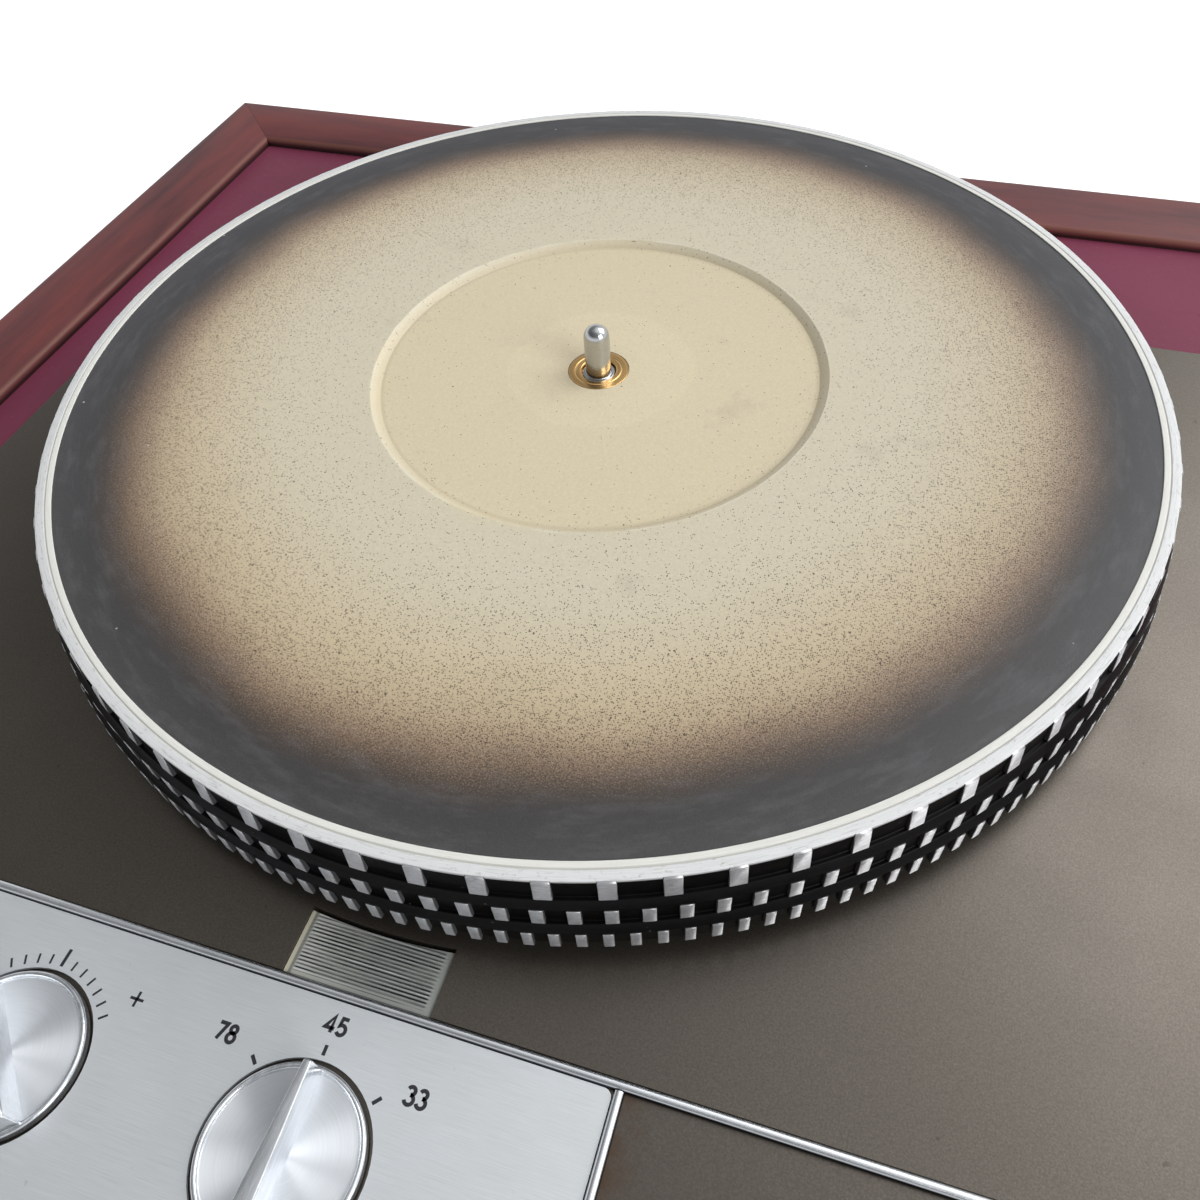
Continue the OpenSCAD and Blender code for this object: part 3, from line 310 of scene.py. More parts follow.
def make_piece(name, shape, finishes, body, nodes=(), index=None, sharp=math.radians(38)):
    """A piece of the dressed model from (points, faces, uv) in millimetres: its mesh is in place in the
    model's frame, it rides on a body and stands for CAD nodes."""
    points, faces, uv = shape
    mesh = bpy.data.meshes.new(name)
    mesh.from_pydata((points * MM).tolist(), [], faces)
    mesh.uv_layers.new(name="UVMap").data.foreach_set("uv", uv.ravel().astype(np.float32))
    face_outward(mesh)
    for finish in finishes:
        mesh.materials.append(finish)
    if index is not None:
        mesh.polygons.foreach_set("material_index", np.asarray(index, np.int32))
    mesh.polygons.foreach_set("use_smooth", np.ones(len(faces), bool))
    mesh.set_sharp_from_angle(angle=sharp)
    mesh.validate()
    piece = bpy.data.objects.new(name, mesh)
    bpy.context.scene.collection.objects.link(piece)
    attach(piece, body)
    if nodes:
        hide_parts(*nodes)
    return piece


# Finishes


class Nodes:
    """A node tree in the making."""

    def __init__(self, tree):
        self.tree = tree
        tree.nodes.clear()

    def node(self, kind, inputs, output=0, **settings):
        """Adds a node, sets or links its inputs, and returns one of its outputs."""
        made = self.tree.nodes.new("ShaderNode" + kind)
        for key, value in settings.items():
            setattr(made, key, value)
        for key, value in inputs.items():
            self.feed(made.inputs[key], value)
        return made if output is None else made.outputs[output]

    def seen_directly(self):
        """One for rays that the eye follows straight or through metal and glass, else nought."""
        path = self.node("LightPath", {}, None).outputs
        either = self.maths("MAXIMUM", path["Is Camera Ray"], path["Is Glossy Ray"])
        return self.maths("MAXIMUM", either, path["Is Transmission Ray"])

    def feed(self, socket, value):
        """Links a socket to an output, or sets its value."""
        if isinstance(value, bpy.types.NodeSocket):
            self.tree.links.new(value, socket)
        elif socket.type == "RGBA":
            socket.default_value = (*value[:3], 1)
        else:
            socket.default_value = value

    def place(self, centre=(0, 0, 0), stretch=(1, 1, 1)):
        """Object coordinates in millimetres from a centre, stretched along each axis."""
        where = self.node("TexCoord", {}, "Object")
        scale = np.array(stretch) / MM
        shift = -np.array(centre) * np.array(stretch)
        return self.node("Mapping", {"Vector": where, "Location": shift, "Scale": scale})

    def flat(self, stretch=(1, 1, 1)):
        """The piece's own UV coordinates, stretched along each way."""
        return self.node("Mapping", {"Vector": self.node("TexCoord", {}, "UV"), "Scale": stretch})

    def maths(self, operation, a, b=0.0):
        """The outcome of an operation on one or two values."""
        return self.node("Math", {0: a, 1: b}, operation=operation)

    def times(self, *values):
        """The product of several values."""
        return reduce(lambda a, b: self.maths("MULTIPLY", a, b), values)

    def radius(self, place):
        """Distance from the upright axis through the place's centre."""
        level = self.node("VectorMath", {0: place, 1: (1, 1, 0)}, operation="MULTIPLY")
        return self.node("VectorMath", {0: level}, "Value", operation="LENGTH")

    def part(self, vector, axis):
        """One of a vector's three parts."""
        return self.node("SeparateXYZ", {0: vector}, axis)

    def polar(self, place, turns, outs, ups=0.0):
        """Coordinates (angle, radius, height) about the place's axis, each stretched, for marks that go
        round with the piece."""
        angle = self.maths("ARCTAN2", self.part(place, "Y"), self.part(place, "X"))
        height = self.part(place, "Z")
        return self.node("CombineXYZ", {
            0: self.times(angle, turns), 1: self.times(self.radius(place), outs), 2: self.times(height, ups)})

    def noise(self, vector, scale, detail=2.0, roughness=0.5):
        """Noise about one half."""
        return self.node("TexNoise", {"Vector": vector, "Scale": scale, "Detail": detail, "Roughness": roughness})

    def span(self, value, low, high, to_low=0.0, to_high=1.0):
        """The value taken from low..high to to_low..to_high, and held at both ends."""
        return self.node("MapRange", {
            "Value": value, "From Min": low, "From Max": high, "To Min": to_low, "To Max": to_high})

    def mix(self, share, a, b, blend="MIX"):
        """Colour a with a share of colour b."""
        return self.node("Mix", {0: share, 6: a, 7: b}, 2, data_type="RGBA", blend_type=blend)

    def toned(self, colour, tone):
        """A colour made lighter or darker by a factor."""
        return self.mix(1.0, colour, tone, "MULTIPLY")

    def ramp(self, value, *stops):
        """A colour that runs through stops (place from 0 to 1, colour)."""
        output = self.node("ValToRGB", {0: value})
        elements = output.node.color_ramp.elements
        while len(elements) < len(stops):
            elements.new(1.0)
        for element, (at, colour) in zip(elements, stops):
            element.position = at
            element.color = (*colour[:3], 1)
        return output


class Finish(Nodes):
    """A material in the making: a Principled shader and the nodes that feed it."""

    def __init__(self, name, **constants):
        self.material = bpy.data.materials.new(name)
        self.material.use_nodes = True
        super().__init__(self.material.node_tree)
        self.shader = self.node("BsdfPrincipled", {}, None)
        self.node("OutputMaterial", {0: self.shader.outputs[0]}, None)
        for key, value in constants.items():
            self.shader.inputs[key.replace("_", " ")].default_value = value

    def bump(self, height, distance, strength=1.0):
        """Relief of the given height in millimetres."""
        self.feed(self.shader.inputs["Normal"],
            self.node("Bump", {"Height": height, "Distance": distance * MM, "Strength": strength}))

    def along_uv(self):
        """Stretches highlights along the piece's own U."""
        tangent = self.node("Tangent", {}, direction_type="UV_MAP", uv_map="UVMap")
        self.feed(self.shader.inputs["Tangent"], tangent)

    def done(self, colour, roughness):
        """Sets the colour and the roughness, and returns the material."""
        self.feed(self.shader.inputs["Base Color"], colour)
        self.feed(self.shader.inputs["Roughness"], roughness)
        return self.material


def shade(colour, factor):
    """A lighter or darker colour."""
    return tuple(min(1.0, level * factor) for level in colour)


def platter_paint(colours):
    """Sprayed paint of the platter: beige in the middle and charcoal outside, with a brown edge whose
    specks grow denser outwards, and a few smudges, scuffs and grains of dust."""
    f = Finish("platter_paint")
    face, label, charcoal = colours.face, colours.label, colours.charcoal
    place = f.place((*AXIS, RING_Z))
    r = f.radius(place)
    drift = f.span(f.noise(place, 0.018, 2), 0.3, 0.7, -2.0, 2.0)
    spray = f.times(f.span(f.noise(place, 2.6, 3, 0.6), 0.25, 0.75, -5.5, 5.5), f.span(r, 92, 124))
    spread = f.maths("ADD", f.maths("ADD", r, drift), spray)
    sprayed = f.ramp(f.span(spread, 0, 160),
        (0.0, shade(label, 0.90)), (0.085, shade(label, 1.04)), (0.160, shade(label, 1.06)),
        (0.168, shade(label, 1.02)), (0.38, label), (0.41, face), (0.56, shade(face, 0.98)),
        (0.64, srgb(204, 192, 168)), (0.70, srgb(198, 184, 158)), (0.75, srgb(184, 167, 142)),
        (0.788, srgb(147, 127, 108)), (0.820, srgb(102, 87, 76)), (0.843, srgb(72, 65, 62)),
        (0.870, charcoal), (0.93, shade(charcoal, 1.3)))
    grain = f.noise(place, 3.0, 2, 0.5)
    fine = f.noise(place, 1.7, 3, 0.65)
    warmer = f.times(f.span(f.part(place, "Y"), 30, -110), f.span(r, 80, 108))
    colour = f.mix(warmer, sprayed, (0.97, 0.94, 0.87), "MULTIPLY")
    for per_mm, sparse, dense, small, large in ((0.95, 0.002, 0.10, 0.13, 0.28), (2.3, 0.006, 0.62, 0.22, 0.44)):
        cell = f.node("TexVoronoi", {"Vector": place, "Scale": per_mm}, None, voronoi_dimensions="2D").outputs
        chance, size = f.part(cell["Color"], "X"), f.span(f.part(cell["Color"], "Y"), 0, 1, small, large)
        density = f.maths("POWER", f.span(spread, 50, 126, sparse ** 0.4, dense ** 0.4), 2.5)
        inside = f.span(f.maths("SUBTRACT", size, cell["Distance"]), 0.0, 0.08)
        speck = f.times(f.maths("LESS_THAN", chance, density), inside, f.span(spread, 124, 140, 0.95, 0.0))
        colour = f.mix(speck, colour, colours.brown)
    colour = f.toned(colour, f.span(fine, 0.3, 0.7, 0.92, 1.06))
    # Painted shade on the label recess's sloping edge, all round it
    slope = f.times(f.span(r, 60.6, 61.4, 0.0, 0.30), f.span(r, 62.4, 63.6, 1.0, 0.0))
    colour = f.mix(slope, colour, srgb(178, 164, 132))
    # A pale line along the label recess's upper edge, broken into patches: a painted highlight
    edge_glint_patches = f.span(f.noise(place, 0.12, 3), 0.40, 0.60)
    edge = f.times(f.span(r, 64.0, 64.4), f.span(r, 64.6, 65.0, 0.40, 0.0), edge_glint_patches)
    colour = f.mix(edge, colour, srgb(232, 227, 212))
    smudge = f.span(f.noise(place, 0.035, 5, 0.65), 0.60, 0.78, 0.0, 0.30)
    colour = f.mix(f.times(smudge, f.span(r, 100, 125, 1.0, 0.0)), colour, srgb(140, 134, 118))
    scuff = f.span(f.noise(f.polar(place, 9.0, 0.25), 1.0, 5, 0.7), 0.48, 0.75, 0.0, 0.20)
    colour = f.mix(f.times(scuff, f.span(r, 120, 134)), colour, srgb(130, 130, 134))
    cell = f.node("TexVoronoi", {"Vector": place, "Scale": 0.14}, None).outputs
    chosen = f.span(f.part(cell["Color"], "X"), 0.80, 0.82, 0.0, 0.7)
    dust = f.times(f.span(cell["Distance"], 0.035, 0.055, 1.0, 0.0), chosen)
    colour = f.mix(dust, colour, srgb(206, 202, 190))
    rough = f.maths("ADD", f.span(r, 112, 136, 0.52, 0.36), f.span(fine, 0.3, 0.7, -0.05, 0.05))
    f.bump(f.maths("ADD", f.times(grain, 0.6), f.times(fine, 0.4)), 0.05)
    return f.done(colour, rough)


def bare_ring(colours, s):
    """Turned metal ring: fine streaks round it, a creamy inner land, darker along the groove, and nicks and
    dirt on the outer land."""
    f = Finish("bare_ring", Specular_IOR_Level=0.2)
    groove = s["ring_r"] - s["ring_w"] * (1 - s["groove_share"])
    place = f.place((*AXIS, RING_Z))
    r = f.radius(place)
    streak = f.noise(f.polar(place, 14.0, 6.0), 1.0, 4, 0.65)
    outer = f.span(r, groove, groove + 0.3)
    colour = f.mix(outer, srgb(230, 229, 223), colours.ring)
    colour = f.toned(colour, f.span(streak, 0.3, 0.7, 0.86, 1.04))
    short = f.span(f.noise(f.polar(place, 70.0, 0.8), 1.0, 4, 0.75), 0.58, 0.72, 0.0, 0.6)
    long = f.span(f.noise(f.polar(place, 24.0, 2.4), 1.0, 4, 0.65), 0.56, 0.72, 0.0, 0.55)
    nick = f.times(f.maths("MAXIMUM", short, long), f.span(outer, 0, 1, 0.15, 1.0))
    colour = f.mix(nick, colour, srgb(140, 136, 128))
    # Darker within a third of a millimetre of the groove
    dirt = f.span(f.maths("ABSOLUTE", f.maths("SUBTRACT", r, groove)), 0.08, 0.32, 0.42, 0.0)
    colour = f.mix(dirt, colour, srgb(124, 122, 116))
    lip = f.span(f.part(place, "Z"), -0.7, -0.15, 0.45, 0.0)
    colour = f.mix(lip, colour, srgb(150, 150, 150))
    f.bump(f.maths("SUBTRACT", f.times(streak, 0.5), nick), 0.06)
    return f.done(colour, f.span(streak, 0.3, 0.7, 0.38, 0.52))


def lug_metal(colours):
    """Lug faces turned bare: lines along the rim, which spread light up and down, and a little dirt."""
    f = Finish("lug_metal", Metallic=0.95, Anisotropic=0.95)
    f.along_uv()
    place = f.place((*AXIS, RING_Z))
    line = f.noise(f.polar(place, 60.0, 0.0, 3.2), 1.0, 3, 0.65)
    colour = f.toned(colours.lug, f.span(line, 0.3, 0.7, 0.74, 1.05))
    dirt = f.span(f.noise(place, 0.5, 4, 0.7), 0.58, 0.75, 0.0, 0.40)
    colour = f.mix(dirt, colour, srgb(120, 118, 112))
    f.bump(line, 0.05)
    return f.done(colour, f.span(line, 0.3, 0.7, 0.34, 0.48))


def rim_paint(name, colour):
    """Black paint, a little dusty, with small chips: black in the rim's steps, and a lighter grey on the lugs'
    sides that is painted light.
    """
    f = Finish(name, Specular_IOR_Level=0.1)
    place = f.place((*AXIS, RING_Z))
    dusty = f.span(f.noise(place, 0.16, 4, 0.6), 0.45, 0.80, 0.0, 0.03)
    colour = f.mix(dusty, colour, srgb(70, 68, 64))
    chip = f.span(f.noise(f.polar(place, 70.0, 0.6, 1.4), 1.0, 3, 0.7), 0.70, 0.76, 0.0, 0.55)
    colour = f.mix(chip, colour, srgb(140, 140, 140))
    f.bump(f.noise(place, 1.8, 2), 0.03)
    return f.done(colour, f.span(dusty, 0, 0.03, 0.30, 0.48))


def worked_metal(name, colour, rough=0.38, metallic=1.0, scale=0.6, stretch=(1, 1, 1)):
    """Bare metal with tool marks: noise stretched along the way it was worked, in tone, gloss and relief."""
    f = Finish(name, Metallic=metallic)
    mark = f.noise(f.place(stretch=stretch), scale, 4, 0.6)
    stain = f.noise(f.place(), 0.03, 3, 0.6)
    tone = f.ramp(mark, (0.30, shade(colour, 0.82)), (0.70, shade(colour, 1.06)))
    tone = f.mix(f.span(stain, 0.45, 0.75, 0.0, 0.25), tone, shade(colour, 0.62))
    f.bump(mark, 0.04)
    return f.done(tone, f.span(mark, 0.3, 0.7, rough - 0.07, rough + 0.07))


def turned_metal(name, colour, centre, rough=0.25, pitch=3.2, metallic=1.0):
    """Metal turned on a lathe: fine rings about its own axis."""
    f = Finish(name, Metallic=metallic)
    place = f.place((*centre, 0))
    ring = f.noise(f.polar(place, 0.6, pitch, pitch), 1.0, 2, 0.6)
    tone = f.ramp(ring, (0.32, shade(colour, 0.80)), (0.68, shade(colour, 1.08)))
    f.bump(ring, 0.03)
    return f.done(tone, f.span(ring, 0.3, 0.7, rough - 0.06, rough + 0.06))


def spindle_steel(colours):
    """Ground spindle: fine rings on its side, a polished dome."""
    f = Finish("spindle_steel", Metallic=1.0)
    place = f.place((*AXIS, RING_Z))
    ring = f.noise(f.polar(place, 1.2, 0.0, 5.0), 1.0, 2, 0.6)
    tone = f.ramp(ring, (0.3, shade(colours.steel, 0.90)), (0.7, shade(colours.steel, 1.08)))
    polished = f.span(f.part(place, "Z"), 8.6, 9.2)
    f.bump(f.times(ring, f.maths("SUBTRACT", 1.0, polished)), 0.02)
    rough = f.maths("SUBTRACT", f.span(ring, 0.3, 0.7, 0.12, 0.20), f.times(polished, 0.09))
    return f.done(tone, rough)


def deck_paint(colours):
    """Satin metallic paint: fine flakes, a slight orange peel, faint cloudy wear, and a brown edge beside the end
    trim that is partly wear and partly a painted highlight."""
    f = Finish("deck_paint", Metallic=0.75)
    deck = colours.deck
    place = f.place()
    x, y = f.part(place, "X"), f.part(place, "Y")
    flake = f.noise(place, 2.4, 3, 0.7)
    cloud = f.noise(place, 0.012, 4, 0.6)
    colour = f.ramp(flake, (0.30, shade(deck, 0.78)), (0.50, deck), (0.70, shade(deck, 1.28)))
    colour = f.mix(f.span(cloud, 0.35, 0.70, 0.0, 0.35), colour, shade(deck, 0.82))
    # A brown edge beside the end trim at the front: partly wear, partly a painted highlight
    start = f.span(x, PLATE_END - 1.0, PLATE_END + 1.0)
    fade = f.span(x, PLATE_END + 2.0, PLATE_END + 9.0, 0.75, 0.0)
    front = f.span(y, TRIM_FRONT, TRIM_REAR, 1.0, 0.0)
    edge_wear_and_glint = f.times(start, fade, front, f.span(f.noise(place, 0.25, 4, 0.7), 0.35, 0.65))
    colour = f.mix(edge_wear_and_glint, colour, srgb(84, 62, 46))
    speck = f.span(f.noise(place, 0.33, 2, 0.5), 0.74, 0.78, 0.0, 0.35)
    colour = f.mix(speck, colour, srgb(46, 42, 38))
    f.bump(flake, 0.012)
    return f.done(colour, f.span(f.noise(place, 0.05, 3), 0.3, 0.7, 0.30, 0.36))


def brushed_plate(colours):
    """Brushed aluminium: hair-fine lines along the plate, a few long scratches and some handling marks."""
    f = Finish("brushed_plate", Metallic=0.5)
    hair = f.noise(f.place(stretch=(0.10, 6.5, 1)), 1.0, 3, 0.7)
    cloud = f.noise(f.place(), 0.02, 3, 0.6)
    colour = f.ramp(hair, (0.25, shade(colours.plate, 0.88)), (0.75, shade(colours.plate, 1.05)))
    colour = f.mix(f.span(cloud, 0.4, 0.75, 0.0, 0.18), colour, srgb(176, 176, 166))
    scratch = f.span(f.noise(f.place(stretch=(0.05, 1.2, 1)), 1.0, 2), 0.74, 0.77, 0.0, 0.15)
    colour = f.mix(scratch, colour, srgb(236, 238, 238))
    grime = f.span(f.noise(f.place(), 0.4, 3, 0.6), 0.72, 0.78, 0.0, 0.30)
    colour = f.mix(grime, colour, srgb(120, 116, 108))
    f.bump(hair, 0.02)
    return f.done(colour, f.span(hair, 0.25, 0.75, 0.30, 0.44))


def polished_chrome(colours):
    """Bright plating drawn and wiped along the trim, with a little grime on its round, and dark bands along its
    feet that are painted reflection and shade. UV v runs over the round from 0 to 1."""
    f = Finish("polished_chrome", Metallic=1.0, Anisotropic=0.9)
    wipe = f.noise(f.place(stretch=(0.4, 1, 1)), 0.35, 4, 0.6)
    grime = f.span(f.noise(f.place(), 0.7, 3, 0.6), 0.70, 0.78, 0.0, 0.12)
    over = f.part(f.flat(), "Y")
    # Dark bands along both feet of the round: painted reflection and shade
    foot = f.maths("MAXIMUM", f.span(over, 0.17, 0.27, 0.95, 0.0), f.span(over, 0.71, 0.81, 0.0, 0.95))
    colour = f.mix(f.maths("MAXIMUM", grime, foot), colours.chrome, srgb(34, 36, 44))
    f.along_uv()
    f.bump(grime, 0.01)
    return f.done(colour, f.span(wipe, 0.35, 0.7, 0.20, 0.26))


def spun_face(colours, name, centre):
    """Spun aluminium: fine grooves about the knob's own axis, so that light gathers in bright fans."""
    f = Finish(name, Metallic=0.8, Anisotropic=0.95, Anisotropic_Rotation=0.25)
    place = f.place((*centre, 0))
    groove = f.noise(f.polar(place, 0.5, 4.5), 1.0, 2, 0.6)
    colour = f.ramp(groove, (0.3, shade(colours.chrome, 0.97)), (0.7, shade(colours.chrome, 1.06)))
    f.along_uv()
    return f.done(colour, f.span(groove, 0.3, 0.7, 0.42, 0.45))


def plate_ink(colours):
    """Printed ink, a little uneven."""
    f = Finish("plate_ink")
    wear = f.noise(f.place(), 2.2, 3, 0.6)
    return f.done(f.mix(f.span(wear, 0.5, 0.8, 0.0, 0.35), colours.ink, shade(colours.ink, 2.4)),
        f.span(wear, 0.3, 0.7, 0.42, 0.60))


def window_plastic(colours):
    """Aged clear plastic in a flat border. UV u runs across the window and v counts its ribs. The window is darker
    and bluer towards the right; painted shade darkens the valleys between ribs, in streaks that come and go along
    the ribs; the left border is creamy; painted highlights lie along the rib crests and where the ribs end at the
    left."""
    f = Finish("window_plastic", Transmission_Weight=0.25, IOR=1.49)
    across, ribs = f.part(f.flat(), "X"), f.part(f.flat(), "Y")
    valley = f.maths("ABSOLUTE", f.maths("SUBTRACT", f.maths("FRACT", ribs), 0.5))
    streak = f.noise(f.flat((1.6, 0.75, 1)), 1.0, 3, 0.6)
    inside = f.times(f.span(across, 0.045, 0.06), f.span(ribs, 0.9, 1.2), f.span(across, 0.94, 0.955, 1.0, 0.0))
    colour = f.mix(f.span(across, 0.10, 0.55, 0.0, 0.50), colours.window, srgb(126, 131, 133))
    # Painted shade in the valleys between ribs, in streaks along them
    dark = f.times(f.span(valley, 0.14, 0.40), f.span(streak, 0.38, 0.56, 0.25, 1.0), inside)
    colour = f.mix(dark, colour, srgb(46, 52, 60))
    # Painted highlights on the rib crests and on the ribs' left ends
    shine = f.times(f.span(valley, 0.24, 0.06), f.span(streak, 0.50, 0.66, 0.0, 0.9))
    rib_end_highlights = f.times(f.span(valley, 0.36, 0.14), f.span(across, 0.09, 0.24, 0.95, 0.0))
    colour = f.mix(f.times(f.maths("MAXIMUM", shine, rib_end_highlights), inside), colour, srgb(236, 237, 233))
    seam = f.times(f.span(across, 0.022, 0.032), f.span(across, 0.044, 0.054, 0.6, 0.0))
    colour = f.mix(seam, colour, srgb(92, 88, 74))
    colour = f.mix(f.span(across, 0.018, 0.030, 0.9, 0.0), colour, srgb(232, 224, 196))
    f.bump(streak, 0.05)
    return f.done(colour, f.span(streak, 0.3, 0.7, 0.10, 0.20))


def rail_wood(colours, inner):
    """Stained hardwood under satin lacquer: broad dark patches, a soft figure and fine pores that run along
    the rail, a pale band along its inner edge that is partly wear and partly a painted highlight, and a painted
    shadow at that edge's foot. UV is in millimetres along the rail and round its section, and inner is the
    distance round to that edge."""
    f = Finish("rail_wood", Specular_IOR_Level=0.3, Coat_Weight=0.05, Coat_Roughness=0.3)
    broad = f.noise(f.flat((0.008, 0.06, 1)), 1.0, 4, 0.6)
    grain = f.noise(f.flat((0.022, 0.7, 1)), 1.0, 4, 0.6)
    pores = f.span(f.noise(f.flat((0.07, 2.4, 1)), 1.0, 2, 0.5), 0.60, 0.72, 0.0, 0.40)
    dark, red = srgb(69, 42, 45), srgb(128, 64, 57)
    colour = f.ramp(broad, (0.32, dark), (0.50, colours.wood), (0.68, red))
    colour = f.mix(f.span(grain, 0.35, 0.68, 0.32, 0.0), colour, shade(colours.wood, 0.55))
    colour = f.mix(pores, colour, srgb(52, 28, 28))
    girth = f.part(f.flat(), "Y")
    # A pale band on the inner round: partly wear, partly a painted highlight
    rise = f.span(girth, inner - 0.6, inner + 0.8, 0.0, 0.35)
    fade = f.span(girth, inner + 1.4, inner + 2.4, 1.0, 0.0)
    colour = f.mix(f.times(rise, fade), colour, srgb(150, 98, 78))
    # Painted shadow at the foot of the inner edge, where the rail meets the board
    colour = f.mix(f.span(girth, inner + 2.4, inner + 3.4, 0.0, 0.85), colour, srgb(30, 16, 16))
    f.bump(f.maths("SUBTRACT", grain, pores), 0.03)
    return f.done(colour, f.span(grain, 0.3, 0.7, 0.42, 0.55))


def board_lacquer(colours):
    """Burgundy lacquer on the top board: slight orange peel, faint clouds and settled dust."""
    f = Finish("board_lacquer", Specular_IOR_Level=0.12)
    place = f.place()
    cloud = f.noise(place, 0.014, 4, 0.6)
    peel = f.noise(place, 0.55, 2, 0.5)
    colour = f.ramp(cloud, (0.3, shade(colours.board, 0.88)), (0.7, shade(colours.board, 1.10)))
    dust = f.span(f.noise(place, 0.9, 2, 0.5), 0.70, 0.76, 0.0, 0.22)
    colour = f.mix(dust, colour, srgb(172, 128, 140))
    spot = f.span(f.noise(place, 0.12, 2, 0.5), 0.72, 0.76, 0.0, 0.35)
    colour = f.mix(spot, colour, shade(colours.board, 0.5))
    f.bump(peel, 0.03)
    return f.done(colour, f.span(peel, 0.3, 0.7, 0.36, 0.46))


def plain_ply(colours):
    """Unfinished plywood: grain along X, pores and a few darker patches."""
    f = Finish("plain_ply")
    grain = f.noise(f.place(stretch=(0.02, 0.5, 0.5)), 1.0, 5, 0.65)
    pores = f.noise(f.place(stretch=(0.12, 2.2, 2.2)), 1.0, 2)
    colour = f.ramp(grain, (0.28, shade(colours.ply, 0.66)), (0.5, colours.ply), (0.75, shade(colours.ply, 1.18)))
    colour = f.mix(f.span(pores, 0.60, 0.70, 0.0, 0.5), colour, shade(colours.ply, 0.4))
    f.bump(grain, 0.10)
    return f.done(colour, f.span(grain, 0.3, 0.7, 0.62, 0.78))


def moulded(name, colour, rough=0.6, scale=0.9, relief=0.05):
    """Moulded rubber or plastic: fine grain with lighter patches of wear."""
    f = Finish(name)
    grain = f.noise(f.place(), scale, 4, 0.6)
    rub = f.noise(f.place(), 0.05, 4, 0.6)
    tone = f.mix(f.span(rub, 0.45, 0.75, 0.0, 0.5), colour, shade(colour, 1.7))
    f.bump(grain, relief)
    return f.done(tone, f.span(grain, 0.3, 0.7, rough - 0.1, rough + 0.1))


def lamp_glass():
    """The strobe lamp's glass, with a warm tint."""
    f = Finish("lamp_glass", Transmission_Weight=0.6, IOR=1.5)
    smoke = f.noise(f.place(stretch=(0.2, 1, 1)), 0.5, 3)
    colour = f.ramp(smoke, (0.3, srgb(236, 170, 110)), (0.7, srgb(250, 206, 150)))
    return f.done(colour, f.span(smoke, 0.3, 0.7, 0.05, 0.12))


# Pieces


def platter_profile(s):
    """Section of the platter, (radius, height from the ring, rounding), from the bush over the face, the ring
    and the stepped rim to the underside and back."""
    ring_in = s["ring_r"] - s["ring_w"]
    groove = ring_in + s["ring_w"] * s["groove_share"]
    face, label = -s["face_drop"], -s["face_drop"] - s["label_depth"]
    under = face - s["disc_t"]
    walls, tops = lug_rows(s)
    rim_in = s["ring_r"] - s["rim_t"]
    steps = []
    for row in range(3):
        low, ledge = tops[row] - s["lug_h"], s["ledge_out"]
        steps += [(walls[row], tops[row], 0.1), (walls[row], low, 0.25 if row < 2 else 0.4)]
        if row < 2:
            steps += [(walls[row] + ledge, low, 0.2), (walls[row + 1] + ledge, tops[row + 1], 0.2)]
    outline = [
        (s["bush_r"], label, 0), (s["label_r"] - s["label_slope"], label, 0.7), (s["label_r"], face, 0.5),
        (ring_in, face, 0.12), (ring_in, 0, 0.12), (groove - s["groove_w"] / 2, 0, 0.1),
        (groove, -0.2, 0.1), (groove + s["groove_w"] / 2, -0.02, 0.1), (s["ring_r"], -0.16, 0.2),
        (s["ring_r"], -s["ring_lip"], 0), *steps, (rim_in, -s["rim_h"], 0.6), (rim_in, under, 3.0),
        (s["hub_r"], under, 1.5), (s["hub_r"], under - s["hub_h"], 0.5), (s["bush_r"], under - s["hub_h"], 0),
    ]
    return fillet(outline)


def lug_rows(s):
    """Radius of the painted wall behind each row of lugs, and height of each row's upper edge."""
    ledge = (s["rim_h"] - s["ring_lip"] - 3 * s["lug_h"]) / 2
    walls = [s["ring_r"] + s["lug_lead"] - s["lug_stand"] + row * s["row_step"] for row in range(3)]
    tops = [-s["ring_lip"] - row * (s["lug_h"] + ledge) for row in range(3)]
    return walls, tops


# Lugs in each row, their share of the pitch, and the angle of one of them in degrees
LUG_ROWS = [(77, 0.30, -67.1), (133, 0.39, -66.2), (180, 0.42, -66.0)]


